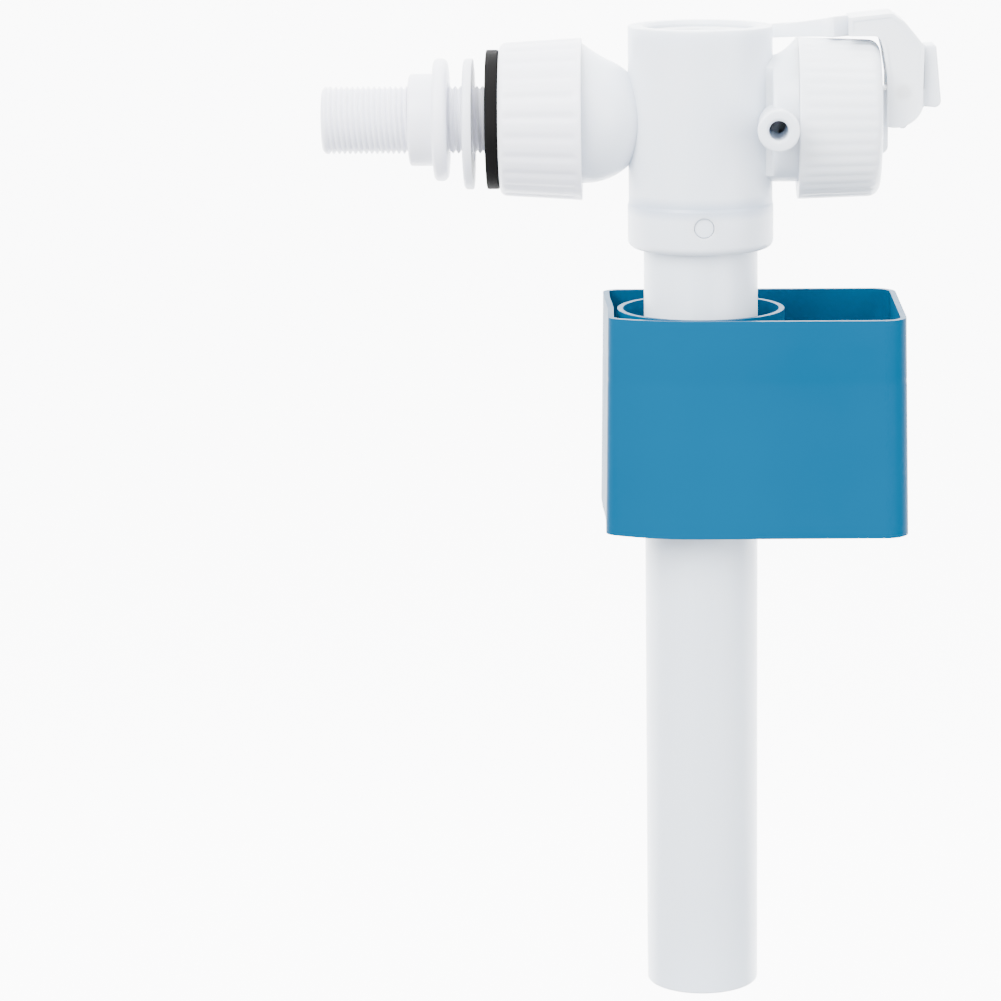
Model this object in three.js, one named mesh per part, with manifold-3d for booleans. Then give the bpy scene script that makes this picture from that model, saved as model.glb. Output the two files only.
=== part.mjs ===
// Side-inlet float valve for a toilet cistern, as an assembly of separate pieces.
// Millimetres, +Z up. The origin is on the inlet axis, where the rubber washer meets the
// cistern wall. +X points into the cistern, +Y to its back.

import * as THREE from 'three';
import { mergeVertices } from 'three/addons/utils/BufferGeometryUtils.js';
import Module from 'manifold-3d';

const wasm = await Module();
wasm.setup();

// ---------------------------------------------------------------- driving dimensions

const pressGap = 0.2; // between two pieces that are pressed together
const fitGap = 0.3; // between two pieces that turn or slide in one another
const threadGap = 0.3; // between an outer and an inner thread, radially

const inlet = {
  threadRadius: 8.33, // G3/8
  boreRadius: 5.2,
  reach: 40.4, // from the cistern wall to the end of the tail
  endChamfer: 0.8,
  shoulderRadius: 12,
  flangeRadius: 15.4,
  flangeThickness: 2.6,
};
const rubberWasher = { radius: 17.15, thickness: 3 };
const plainWasher = { radius: 16.1, thickness: 2.3, place: -3.3, sag: 1.1 };
const backnut = { place: -9.5, flangeRadius: 15.1, flangeThickness: 3.5, hubRadius: 11.35, hubLength: 6.1 };
const filter = {
  seatRadius: 5.9,
  seatThickness: 1.4,
  radius: 4.6,
  wall: 0.8,
  length: 24,
  ribs: 6,
  window: 2.6,
};
const unionNut = { length: 20.3, endWall: 2.6, endRadius: 18.8, openRadius: 20, flutes: 24, fluteDepth: 0.5 };
const inletSeal = { innerRadius: 7.5, thickness: 1.8 };

const tube = { radius: 14.2, wall: 1.4, bottom: -222.7, socketGap: 0.25, socketWall: 3.4, endCover: 2 };

const bodyRadius = tube.radius + tube.socketGap + tube.socketWall;
const bodyWall = 4.1; // above the socket
const body = {
  place: 52.7, // the valve's vertical axis, along X
  radius: bodyRadius,
  top: 23,
  bottom: -31.8,
  boreRadius: bodyRadius - bodyWall,
  stepHeight: -21.1,
  step: 0.25,
  round: 2,
  domeRadius: 15.7,
  domePlace: 24.2,
  inletThreadRadius: 16,
  feedRadius: 7,
  feedBore: 4.8,
  neckRadius: 15.6,
  neckBite: 0.35, // how far the round neck reaches into the side of the body
  neckWall: 1.5,
  webHalfWidth: 8.2, // of the narrow passage between body and neck
  neckBore: 12.4,
  neckThreadRadius: 16.1,
  neckThreadStart: 78,
  neckEnd: 89.3,
  seatSetback: 0.9,
  socketDepth: 17.2,
  ledge: 1.6,
  ledgeBore: tube.radius - tube.endCover,
};
const gusset = { width: 9, height: 3.4, length: 5.5 };
const nozzle = { place: 71.1, root: 6, reach: 28.5, radius: 4.4, barb: 0.7, bore: 2.4 };
const lug = { radius: 2.4, height: -24.9, turn: 2, reach: 17.5, gap: 0.3 };
const tubeSeal = { height: -18.6, section: 0.85, squash: 0.25 };
const topInsert = { recess: 1.4, skirt: 9, wall: 1.2, ringRadius: 8.6, hole: 4.6, drop: 3 };

const bonnetNut = { place: 76.6, end: 96.9, openRadius: 19.9, endRadius: 19.2, endWall: 3, round: 3,
  holeRadius: 12.9, flutes: 40, fluteDepth: 0.3 };
const diaphragm = { thickness: 1.4, holeRadius: 3.3 };
const plate = { radius: 8.4, thickness: 1.6, stemRadius: 2.9, travel: 1.4 };
const bleedPin = { radius: 0.45, offset: 1.7, inBonnet: 1.4 };
const bonnet = { flangeThickness: 2.5, faceReach: 2, chamberRadius: 9.6, bossReach: 3.2, bossWidth: 9.6,
  bossBottom: 8.3, bossTop: 5.6, pilotRadius: 1.6, pilotBore: 0.6, pilotReach: 1 };

const lever = {
  pivotX: 102.5,
  pivotZ: 7,
  inner: 98.4, // the edge that faces the bonnet nut
  headLeft: 89,
  cheekInside: 5.4,
  cheek: 2.2,
  web: 1.6,
  lobeX: 100.3,
  lobeZ: 5.6,
  lobeRadius: 7.3,
  lobeEnd: -22,
  peakX: 98.8,
  peakZ: 26.3,
  shoulderZ: 24.2,
  heelX: 107.4,
  heelZ: 18.3,
  underside: 20.7,
  armWidth: 4.5,
  armTopSlope: 0.125,
  armUnderSlope: 0.139,
};
const pivotPin = { radius: 1.5, bite: 1.4 };
const ear = { radius: 3, rootDrop: 1.5 };
const pilotSeal = { radius: 1.7, thickness: 1.3, setback: 0.6, wall: 0.4 };
const tab = { left: 107.6, top: 18.3, right: 112.4, bottom: 2.8, width: 9.2 };

const rodBehind = 6.55; // from the back of the body to the rod's axis
const rod = {
  x: 43,
  y: body.radius + rodBehind,
  radius: 2.1,
  top: 18.4,
  bottom: -178,
  knobRadius: 4,
  knobHeight: 3.3,
  tip: 4,
};
const linkBlock = { halfX: 3.4, halfY: 3.6, bottom: 13.9, top: 18.1, pinRadius: 1.4, pinHeight: 16 };
const fork = { prong: 2.3, halfHeight: 2.6, back: 2.6, front: 5.6, slotBack: 2.2, slotFront: 0.4 };
const rodClip = { radius: 3.4, thickness: 1.6 };

const collar = { gap: 1.4, wall: 1.35 }; // slides up around the body
const collarInner = body.radius + body.step + collar.gap;
const collarOuter = collarInner + collar.wall;
const floatRoom = { left: 2.25, front: 1.45, back: 6.2 }; // outside the collar, and behind the rod's axis
const float = {
  left: body.place - collarOuter - floatRoom.left,
  flare: 1.6, // how far the back left corner stands out
  right: 103,
  front: -collarOuter - floatRoom.front,
  back: rod.y + floatRoom.back,
  top: -47.2,
  bottom: -101.4,
  wall: 1.5,
  draft: 0.85, // how far each side leans out towards the bottom
  partition: -62, // floor of the water tray
  partitionWall: 1.4,
  sleeveWall: 1.1,
  corner: 6,
  cornerLeft: 4,
  bulgeRadius: 46, // of the front wall's bend around the collar
};
const floatNut = { radius: 3.4, flangeRadius: 4.6, flangeThickness: 1.6, length: 14 };

const roundSteps = 40; // facets of a large round
const smallSteps = 16; // facets of a small round

// ---------------------------------------------------------------- materials

function plastic(color, roughness = 0.4) {
  return new THREE.MeshStandardMaterial({ color, roughness, metalness: 0 });
}
const naturalWhite = () => plastic(0xe6eaf0, 0.38);
const brightWhite = () => plastic(0xf2f3fa, 0.42);
const black = () => plastic(0x1c1c1e, 0.45);
const rubber = () => plastic(0x3f4043, 0.8);
const steel = () => new THREE.MeshStandardMaterial({ color: 0xb8bcc0, roughness: 0.3, metalness: 1 });

// ---------------------------------------------------------------- solids

// A closed three.js geometry as a solid that can be cut and joined.
function solid(geometry) {
  geometry.deleteAttribute('normal');
  geometry.deleteAttribute('uv');
  const merged = mergeVertices(geometry, 1e-4);
  const places = merged.getAttribute('position').array;
  const corners = merged.index.array;
  const triangles = [];
  let volume = 0;
  const [p, q, r] = [new THREE.Vector3(), new THREE.Vector3(), new THREE.Vector3()];
  for (let i = 0; i < corners.length; i += 3) {
    const [a, b, c] = corners.slice(i, i + 3);
    if (a === b || b === c || c === a) {
      continue;
    }
    triangles.push(a, b, c);
    p.fromArray(places, 3 * a);
    q.fromArray(places, 3 * b);
    r.fromArray(places, 3 * c);
    volume += p.dot(q.cross(r));
  }
  if (volume < 0) {
    triangles.reverse();
  }
  const vertProperties = new Float32Array(places);
  const triVerts = new Uint32Array(triangles);
  return new wasm.Manifold(new wasm.Mesh({ numProp: 3, vertProperties, triVerts }));
}

function union(first, ...others) {
  return others.reduce((whole, other) => whole.add(other), first);
}

function cut(first, ...others) {
  return others.reduce((whole, other) => whole.subtract(other), first);
}

// A round turned about X or Z. Each point is [place along the axis, radius].
function turned(axis, points, steps = roundSteps) {
  const profile = points.map(([along, radius]) => new THREE.Vector2(radius, along));
  const geometry = new THREE.LatheGeometry(profile, steps);
  return solid(layAlong(axis, geometry));
}

function layAlong(axis, geometry) {
  if (axis === 'x') {
    return geometry.rotateZ(-Math.PI / 2);
  }
  if (axis === 'y') {
    return geometry;
  }
  return geometry.rotateX(Math.PI / 2);
}

// A turned piece whose outside, beyond gripRadius, is fluted for the fingers.
function fluted(axis, points, flutes, depth, gripRadius, fluteSteps) {
  const profile = points.map(([along, radius]) => new THREE.Vector2(radius, along));
  const geometry = new THREE.LatheGeometry(profile, fluteSteps * flutes);
  const position = geometry.getAttribute('position');
  for (let i = 0; i < position.count; i++) {
    const [x, z] = [position.getX(i), position.getZ(i)];
    const radius = Math.hypot(x, z);
    if (radius > gripRadius) {
      const lower = depth * (0.5 - 0.5 * Math.cos(flutes * Math.atan2(z, x)));
      const factor = (radius - lower) / radius;
      position.setX(i, x * factor);
      position.setZ(i, z * factor);
    }
  }
  return solid(layAlong(axis, geometry));
}

function cylinder(axis, radius, from, to, steps = smallSteps) {
  return turned(axis, [[from, 0], [from, radius], [to, radius], [to, 0]], steps);
}

function ring(axis, inner, outer, from, to, steps = roundSteps) {
  return turned(axis, [[from, inner], [from, outer], [to, outer], [to, inner], [from, inner]], steps);
}

function box(low, high) {
  const size = low.map((value, i) => high[i] - value);
  const geometry = new THREE.BoxGeometry(...size);
  geometry.translate(...low.map((value, i) => value + size[i] / 2));
  return solid(geometry);
}

// An outline in the XY plane, raised from one height to another.
function raised(outline, low, high) {
  const shape = new THREE.Shape(outline.map(([x, y]) => new THREE.Vector2(x, y)));
  const geometry = new THREE.ExtrudeGeometry(shape, { depth: high - low, bevelEnabled: false });
  return solid(geometry.translate(0, 0, low));
}

// An outline in the XZ plane, carried along Y.
function slab(outline, front, back) {
  const shape = new THREE.Shape(outline.map(([x, z]) => new THREE.Vector2(x, z)));
  const geometry = new THREE.ExtrudeGeometry(shape, { depth: back - front, bevelEnabled: false });
  geometry.rotateX(Math.PI / 2);
  return solid(geometry.translate(0, back, 0));
}

// Points on an arc, angles in degrees.
function arc(x, y, radius, from, to, steps) {
  return Array.from({ length: steps + 1 }, (_, i) => {
    const angle = THREE.MathUtils.degToRad(from + ((to - from) * i) / steps);
    return [x + radius * Math.cos(angle), y + radius * Math.sin(angle)];
  });
}

const valve = new THREE.Group();

function add(name, shape, material) {
  const mesh = shape.getMesh();
  const geometry = new THREE.BufferGeometry();
  geometry.setAttribute('position', new THREE.BufferAttribute(new Float32Array(mesh.vertProperties), 3));
  geometry.setIndex(new THREE.BufferAttribute(new Uint32Array(mesh.triVerts), 1));
  geometry.computeVertexNormals();
  const piece = new THREE.Mesh(geometry, material);
  piece.name = name;
  valve.add(piece);
}

// ---------------------------------------------------------------- places along the inlet axis

const shoulderX = rubberWasher.thickness + pressGap;
const flangeX = shoulderX + unionNut.endWall + fitGap;
const sealX = flangeX + inlet.flangeThickness + pressGap;
const inletNeckX = sealX + inletSeal.thickness + pressGap;
const unionNutEnd = shoulderX + unionNut.length;
const neckPlace = body.place + body.radius - body.neckBite;
const seatX = body.neckEnd - body.seatSetback;
const diaphragmX = body.neckEnd + pressGap;
const bonnetX = diaphragmX + diaphragm.thickness + pressGap;
const bonnetFaceX = bonnetX + bonnet.flangeThickness + bonnet.faceReach;
const bossX = bonnetFaceX + bonnet.bossReach;
const pilotX = bossX + bonnet.pilotReach;
const socketRadius = tube.radius + tube.socketGap;
const tubeTop = body.bottom + body.socketDepth;

// ---------------------------------------------------------------- inlet

function inletShank() {
  const outside = turned('x', [
    [-inlet.reach, 0],
    [-inlet.reach, inlet.threadRadius - inlet.endChamfer],
    [-inlet.reach + inlet.endChamfer, inlet.threadRadius],
    [shoulderX, inlet.threadRadius],
    [shoulderX, inlet.shoulderRadius],
    [flangeX, inlet.shoulderRadius],
    [flangeX, inlet.flangeRadius],
    [flangeX + inlet.flangeThickness, inlet.flangeRadius],
    [flangeX + inlet.flangeThickness, 0],
  ]);
  const bore = cylinder('x', inlet.boreRadius, -inlet.reach - 1, flangeX + inlet.flangeThickness + 1, 32);
  const filterSeat = cylinder(
    'x', filter.seatRadius + fitGap, -inlet.reach - 1, -inlet.reach + filter.seatThickness + fitGap, 32);
  return cut(outside, bore, filterSeat);
}

function inletFilter() {
  const end = -inlet.reach + 0.1;
  const shell = turned('x', [
    [end, filter.radius - filter.wall],
    [end, filter.seatRadius],
    [end + filter.seatThickness, filter.seatRadius],
    [end + filter.seatThickness, filter.radius],
    [end + filter.length, filter.radius],
    [end + filter.length, 0],
    [end + filter.length - filter.wall, 0],
    [end + filter.length - filter.wall, filter.radius - filter.wall],
    [end, filter.radius - filter.wall],
  ], 24);
  const windows = [];
  for (let i = 0; i < filter.ribs / 2; i++) {
    const slot = box(
      [end + filter.seatThickness + 1.5, -filter.seatRadius, -filter.window / 2],
      [end + filter.length - 2.5, filter.seatRadius, filter.window / 2]);
    windows.push(slot.rotate([(360 / filter.ribs) * i, 0, 0]));
  }
  return cut(shell, ...windows);
}

function backnutPiece() {
  const flangeLeft = backnut.place - backnut.flangeThickness;
  const hubLeft = flangeLeft - backnut.hubLength;
  const bore = inlet.threadRadius + threadGap;
  return turned('x', [
    [hubLeft, bore],
    [hubLeft, backnut.hubRadius - 1.2],
    [hubLeft + 0.4, backnut.hubRadius - 0.3],
    [hubLeft + 1.2, backnut.hubRadius],
    [flangeLeft, backnut.hubRadius],
    [flangeLeft + 0.2, backnut.flangeRadius - 1.2],
    [flangeLeft + 1, backnut.flangeRadius - 0.2],
    [backnut.place - 1.2, backnut.flangeRadius],
    [backnut.place - 0.3, backnut.flangeRadius - 0.4],
    [backnut.place, backnut.flangeRadius - 1.6],
    [backnut.place, bore],
    [hubLeft, bore],
  ]);
}

function plainWasherPiece() {
  const left = plainWasher.place - plainWasher.thickness;
  const hole = inlet.threadRadius + plainWasher.sag + 0.2;
  const loose = ring('x', hole, plainWasher.radius, left, plainWasher.place);
  return loose.translate([0, 0, -plainWasher.sag]);
}

function rubberWasherPiece() {
  return ring('x', inlet.threadRadius + fitGap, rubberWasher.radius, 0, rubberWasher.thickness);
}

function unionNutPiece() {
  const bore = body.inletThreadRadius + threadGap;
  return fluted('x', [
    [shoulderX, inlet.shoulderRadius + fitGap],
    [shoulderX, unionNut.endRadius - 1.8],
    [shoulderX + 0.5, unionNut.endRadius - 0.6],
    [shoulderX + 1.8, unionNut.endRadius],
    [unionNutEnd - 0.4, unionNut.openRadius],
    [unionNutEnd, unionNut.openRadius - 0.4],
    [unionNutEnd, bore],
    [shoulderX + unionNut.endWall, bore],
    [shoulderX + unionNut.endWall, inlet.shoulderRadius + fitGap],
    [shoulderX, inlet.shoulderRadius + fitGap],
  ], unionNut.flutes, unionNut.fluteDepth, unionNut.endRadius - 0.3, 3);
}

function inletSealPiece() {
  return ring('x', inletSeal.innerRadius, inlet.flangeRadius - 0.4, sealX, sealX + inletSeal.thickness, 32);
}

// ---------------------------------------------------------------- valve body

function bodyOutside() {
  const lower = body.radius + body.step;
  const shell = turned('z', [
    [body.bottom, 0],
    [body.bottom, lower - body.round],
    [body.bottom + 0.3 * body.round, lower - 0.3 * body.round],
    [body.bottom + body.round, lower],
    [body.stepHeight, lower],
    [body.stepHeight + 0.6, body.radius],
    [body.top, body.radius],
    [body.top, 0],
  ]).translate([body.place, 0, 0]);
  const domeEnd = Math.acos((body.place - body.boreRadius - body.domePlace) / body.domeRadius);
  const dome = arc(body.domePlace, 0, body.domeRadius, 90, THREE.MathUtils.radToDeg(domeEnd), 10);
  const domeTip = dome[dome.length - 1][0];
  const inletNeck = turned('x', [
    [inletNeckX, 0],
    [inletNeckX, body.inletThreadRadius],
    [body.domePlace - 1.5, body.inletThreadRadius],
    ...dome,
    [domeTip, 0],
  ]);
  const outletNeck = turned('x', [
    [neckPlace, 0],
    [neckPlace, body.neckRadius - 0.6],
    [neckPlace + 0.6, body.neckRadius],
    [body.neckThreadStart, body.neckRadius],
    [body.neckThreadStart, body.neckThreadRadius],
    [body.neckEnd, body.neckThreadRadius],
    [body.neckEnd, 0],
  ]);
  const web = passage(body.neckRadius, neckPlace + 1, body.webHalfWidth);
  return union(shell, inletNeck, outletNeck, web, ...bodyGussets(), nozzleOutside());
}

// A round along the inlet axis with flat sides, from the body's axis to a place beside it.
function passage(radius, end, half) {
  const sides = box([body.place, -half, -radius], [end, half, radius]);
  return cylinder('x', radius, body.place, end, roundSteps).intersect(sides);
}

// Two small webs, one beside each nut, on top of the necks.
function bodyGussets() {
  const half = gusset.width / 2;
  const low = body.neckRadius - 3;
  const leftX = unionNutEnd + fitGap;
  const left = slab([
    [leftX, low],
    [leftX + gusset.length, low],
    [leftX + gusset.length, body.domeRadius - 1.6],
    [leftX + 0.6, unionNut.openRadius - 2.4],
    [leftX, unionNut.openRadius - 2.4],
  ], -half, half);
  const rightX = bonnetNut.place - fitGap;
  const right = slab([
    [rightX - gusset.length - 1, low],
    [rightX, low],
    [rightX, body.neckRadius + gusset.height],
    [rightX - 0.5, body.neckRadius + gusset.height],
    [rightX - gusset.length, body.neckRadius - 0.2],
  ], -half, half);
  return [left, right];
}

function nozzleOutside() {
  const tip = nozzle.reach;
  const spigot = turned('y', [
    [0, 0],
    [0, nozzle.radius],
    [tip - 5, nozzle.radius],
    [tip - 4, nozzle.radius + nozzle.barb],
    [tip - 1, nozzle.radius + nozzle.barb],
    [tip, nozzle.radius - 0.3],
    [tip, 0],
  ], 24);
  const start = nozzle.root;
  const outer = spigot.subtract(cylinder('y', nozzle.radius * 2, -1, start, 8));
  return outer.rotate([180, 0, 0]).translate([nozzle.place, 0, 0]);
}

function valveBody() {
  const inside = union(
    cylinder('z', socketRadius, body.bottom - 1, tubeTop + fitGap, roundSteps),
    cylinder('z', body.ledgeBore, body.bottom, body.top + 1, 32),
    cylinder('z', body.boreRadius, tubeTop + fitGap + body.ledge, body.top + 1, roundSteps),
    turned('z', [
      [body.top - 0.7, 0],
      [body.top - 0.7, body.boreRadius],
      [body.top + 0.1, body.boreRadius + 0.8],
      [body.top + 0.1, 0],
    ]),
    tubeSealGroove(),
  ).translate([body.place, 0, 0]);
  const neckBore = union(
    cylinder('x', body.neckBore, neckPlace + body.neckWall, body.neckEnd + 1, 40),
    passage(body.neckBore, neckPlace + body.neckWall + 1, body.webHalfWidth - body.neckWall),
  );
  const feed = turned('x', [
    [body.place - body.boreRadius - 1, 0],
    [body.place - body.boreRadius - 1, body.feedRadius],
    [seatX - 2, body.feedRadius],
    [seatX, body.feedRadius - 1],
    [seatX, 0],
  ], 24);
  const feedBore = cylinder('x', body.feedBore, inletNeckX - 1, seatX + 1, 24);
  const nozzleBore = cylinder('y', nozzle.bore, -nozzle.reach - 1, -body.neckBore + 3, 16)
    .translate([nozzle.place, 0, 0]);
  const lugWindow = lugRound(lug.radius + lug.gap, socketRadius - 1, body.radius + 3);
  return cut(union(cut(bodyOutside(), inside, neckBore), feed), feedBore, nozzleBore, lugWindow);
}

// A short round that points out of the front of the tube.
function lugRound(radius, from, to) {
  return cylinder('y', radius, -to, -from, 16)
    .translate([0, 0, lug.height])
    .rotate([0, 0, lug.turn])
    .translate([body.place, 0, 0]);
}

function sealCentreRadius() {
  return tube.radius + tubeSeal.section + 0.1;
}

function tubeSealGroove() {
  const half = tubeSeal.section + tubeSeal.squash;
  const outer = sealCentreRadius() + half;
  return ring('z', tube.radius - 1, outer, tubeSeal.height - half, tubeSeal.height + half);
}

function tubeSealPiece() {
  const section = arc(tubeSeal.height, sealCentreRadius(), tubeSeal.section, 0, 360, 6);
  return turned('z', section, 32).translate([body.place, 0, 0]);
}

function dischargeTube() {
  const inner = tube.radius - tube.wall;
  const pipe = turned('z', [
    [tubeTop, inner],
    [tubeTop, tube.radius - 0.4],
    [tubeTop - 0.6, tube.radius],
    [tube.bottom + 0.6, tube.radius],
    [tube.bottom, tube.radius - 0.4],
    [tube.bottom, inner],
    [tubeTop, inner],
  ]).translate([body.place, 0, 0]);
  return pipe.add(lugRound(lug.radius, inner + 0.4, lug.reach));
}

function topInsertPiece() {
  const high = body.top - topInsert.recess;
  const outer = body.boreRadius - fitGap;
  const inner = outer - topInsert.wall;
  const deck = high - topInsert.wall;
  return turned('z', [
    [high - topInsert.skirt, inner],
    [high - topInsert.skirt, outer],
    [high, outer],
    [high, topInsert.ringRadius],
    [high - topInsert.drop, topInsert.ringRadius - 1.2],
    [high - topInsert.drop, topInsert.hole],
    [high - topInsert.drop - topInsert.wall, topInsert.hole],
    [high - topInsert.drop - topInsert.wall, topInsert.ringRadius],
    [deck, topInsert.ringRadius + topInsert.wall],
    [deck, inner],
    [high - topInsert.skirt, inner],
  ]).translate([body.place, 0, 0]);
}

// ---------------------------------------------------------------- valve head

function bonnetNutPiece() {
  const bore = body.neckThreadRadius + threadGap;
  const { place, end, openRadius, endRadius, endWall, round, holeRadius } = bonnetNut;
  const corner = arc(end - round, endRadius - round, round, 90, 0, 3);
  return fluted('x', [
    [place, bore],
    [place, openRadius - 0.4],
    [place + 0.4, openRadius],
    ...corner,
    [end, holeRadius],
    [end - endWall, holeRadius],
    [end - endWall, bore],
    [place, bore],
  ], bonnetNut.flutes, bonnetNut.fluteDepth, endRadius - 0.6, 2);
}

function diaphragmPiece() {
  const right = diaphragmX + diaphragm.thickness;
  return turned('x', [
    [diaphragmX, diaphragm.holeRadius],
    [diaphragmX, body.neckThreadRadius - 0.2],
    [right, body.neckThreadRadius - 0.2],
    [right, bonnet.chamberRadius + 2],
    [right - 0.3, bonnet.chamberRadius + 1],
    [right - 0.3, diaphragm.holeRadius],
    [diaphragmX, diaphragm.holeRadius],
  ], 40);
}

function bleedRound(radius, from, to) {
  return cylinder('x', radius, from, to, 10).translate([0, 0, -bleedPin.offset]);
}

function diaphragmPlate() {
  const back = diaphragmX + diaphragm.thickness;
  const whole = turned('x', [
    [seatX + 0.4, 0],
    [seatX + 0.4, plate.stemRadius - 0.6],
    [seatX + 1, plate.stemRadius],
    [back, plate.stemRadius],
    [back, plate.radius],
    [back + plate.thickness, plate.radius],
    [back + plate.thickness, 0],
  ], 32);
  return whole.subtract(bleedRound(bleedPin.radius + fitGap, seatX, back + plate.thickness + 1));
}

function bleedPinPiece() {
  return bleedRound(bleedPin.radius, seatX - 0.4, chamberEnd + bleedPin.inBonnet);
}

// The pressure chamber leaves room for the plate to lift.
const chamberEnd = diaphragmX + diaphragm.thickness + plate.thickness + plate.travel + fitGap;

function bonnetPiece() {
  const flange = turned('x', [
    [bonnetX, 0],
    [bonnetX, body.neckThreadRadius],
    [bonnetX + bonnet.flangeThickness, body.neckThreadRadius],
    [bonnetX + bonnet.flangeThickness, bonnetNut.holeRadius - fitGap],
    [bonnetFaceX, bonnetNut.holeRadius - fitGap],
    [bonnetFaceX, 0],
  ]);
  const half = bonnet.bossWidth / 2;
  const boss = slab([
    [bonnetFaceX - 1, -bonnet.bossBottom],
    [bossX - 0.6, -bonnet.bossBottom],
    [bossX, -bonnet.bossBottom + 1.6],
    [bossX, bonnet.bossTop - 1],
    [bonnetFaceX - 1, bonnet.bossTop],
  ], -half, half);
  const { pivotX, pivotZ } = lever;
  const earOutline = [
    [bonnetFaceX - 1, pivotZ - ear.radius],
    ...arc(pivotX, pivotZ, ear.radius, -90, 90, 10),
    [bonnetFaceX - 1, pivotZ - ear.rootDrop],
  ];
  const pilot = turned('x', [
    [bossX - 0.5, 0],
    [bossX - 0.5, bonnet.pilotRadius + 0.6],
    [pilotX, bonnet.pilotRadius],
    [pilotX, 0],
  ], 16);
  return cut(
    union(flange, boss, slab(earOutline, -half, half), pilot),
    cylinder('x', bonnet.chamberRadius, bonnetX - 1, chamberEnd, 32),
    cylinder('x', bonnet.pilotBore, bonnetX, pilotX + 1, 10),
    bleedRound(bleedPin.radius + pressGap, bonnetX, chamberEnd + bleedPin.inBonnet + pressGap),
    pivotRound(pivotPin.radius + pressGap, half + 1),
  );
}

function pivotRound(radius, half) {
  return cylinder('y', radius, -half, half, 16).translate([lever.pivotX, 0, lever.pivotZ]);
}

// ---------------------------------------------------------------- lever

const cheekOutside = lever.cheekInside + lever.cheek;

// Height of the arm's top edge or underside, left of the head.
function armLine(start, slope) {
  return (x) => start - slope * (lever.headLeft - x);
}
const armTop = armLine(lever.peakZ - 1.3, lever.armTopSlope);
const armUnder = armLine(lever.underside, lever.armUnderSlope);

function leverHead() {
  const lobeStart = THREE.MathUtils.radToDeg(Math.asin((lever.inner - lever.lobeX) / lever.lobeRadius)) - 90;
  const lobe = arc(lever.lobeX, lever.lobeZ, lever.lobeRadius, lobeStart, lever.lobeEnd, 12);
  const outline = [
    [lever.headLeft, lever.underside],
    [lever.inner - 3.5, lever.underside],
    [lever.inner - 1.8, lever.underside - 0.9],
    [lever.inner - 1.1, lever.underside - 3.3],
    [lever.inner, lever.underside - 9.8],
    ...lobe,
    [lever.heelX, lever.heelZ],
    [lever.peakX + 3.4, lever.shoulderZ],
    [lever.peakX + 1.2, lever.peakZ - 0.4],
    [lever.peakX, lever.peakZ],
    [lever.headLeft, armTop(lever.headLeft)],
  ];
  const whole = slab(outline, -cheekOutside, cheekOutside);
  const inner = lever.cheekInside;
  const hollow = slab([
    [lever.headLeft + lever.web, lever.underside - 1],
    [lever.inner - 4, lever.lobeZ - lever.lobeRadius - 2],
    [lever.heelX + 4, lever.lobeZ - lever.lobeRadius - 2],
    [lever.heelX + 4, lever.heelZ - 6],
    [lever.heelX - lever.web, lever.heelZ - 4],
    [lever.heelX - lever.web, lever.heelZ - 0.9],
    [lever.peakX + 2.6, lever.shoulderZ - lever.web],
    [lever.peakX, lever.peakZ - lever.web - 0.4],
    [lever.headLeft + lever.web, armTop(lever.headLeft) - lever.web],
  ], -inner, inner);
  const sockets = pivotRound(pivotPin.radius + pressGap, lever.cheekInside + pivotPin.bite + pressGap);
  return cut(whole, hollow, sockets);
}

// The arm leaves the head, passes behind the valve body and ends in a fork at the rod.
function leverArm() {
  const route = [
    [lever.headLeft + 2, 2.6],
    [body.place + body.radius + 3.4, body.radius - 2.4],
    [body.place + 7, body.radius + 5.8],
    [rod.x + linkBlock.halfX + 2.2, rod.y],
  ];
  const half = lever.armWidth / 2;
  const shapes = [];
  for (let i = 0; i + 1 < route.length; i++) {
    const [[x0, y0], [x1, y1]] = [route[i], route[i + 1]];
    const run = Math.hypot(x1 - x0, y1 - y0);
    const [nx, ny] = [(-(y1 - y0) / run) * half, ((x1 - x0) / run) * half];
    const strip = [[x0 + nx, y0 + ny], [x0 - nx, y0 - ny], [x1 - nx, y1 - ny], [x1 + nx, y1 + ny]];
    shapes.push(raised(strip, 0, lever.peakZ));
    shapes.push(cylinder('z', half, 0, lever.peakZ, 12).translate([x0, y0, 0]));
  }
  const left = rod.x;
  const right = lever.headLeft + 4;
  const side = slab([
    [left, armUnder(left)],
    [right, armUnder(right)],
    [right, armTop(right)],
    [left, armTop(left)],
  ], -10, rod.y + 10);
  return union(...shapes).intersect(side);
}

function leverFork() {
  const low = linkBlock.pinHeight - fork.halfHeight;
  const high = linkBlock.pinHeight + fork.halfHeight;
  const inside = linkBlock.halfY + 0.7;
  const outside = inside + fork.prong;
  const right = rod.x + linkBlock.halfX + 1;
  const left = rod.x - fork.slotBack - linkBlock.pinRadius - fork.back + 0.4;
  const whole = box([left, rod.y - outside, low], [right + 3, rod.y + outside, high]);
  const throat = box([left - 1, rod.y - inside, low - 1], [right, rod.y + inside, high + 1]);
  const slotHalf = linkBlock.pinRadius + fitGap;
  const slot = box(
    [rod.x - linkBlock.pinRadius - fork.slotBack, rod.y - outside - 1, linkBlock.pinHeight - slotHalf],
    [rod.x + linkBlock.pinRadius + fork.slotFront, rod.y + outside + 1, linkBlock.pinHeight + slotHalf]);
  return cut(whole, throat, slot);
}

function floatLever() {
  return union(leverHead(), leverArm(), leverFork());
}

function pivotPinPiece() {
  return pivotRound(pivotPin.radius, lever.cheekInside + pivotPin.bite);
}

const sealFaceX = pilotX + 1.3;
const sealBackX = sealFaceX + pilotSeal.thickness;

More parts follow.
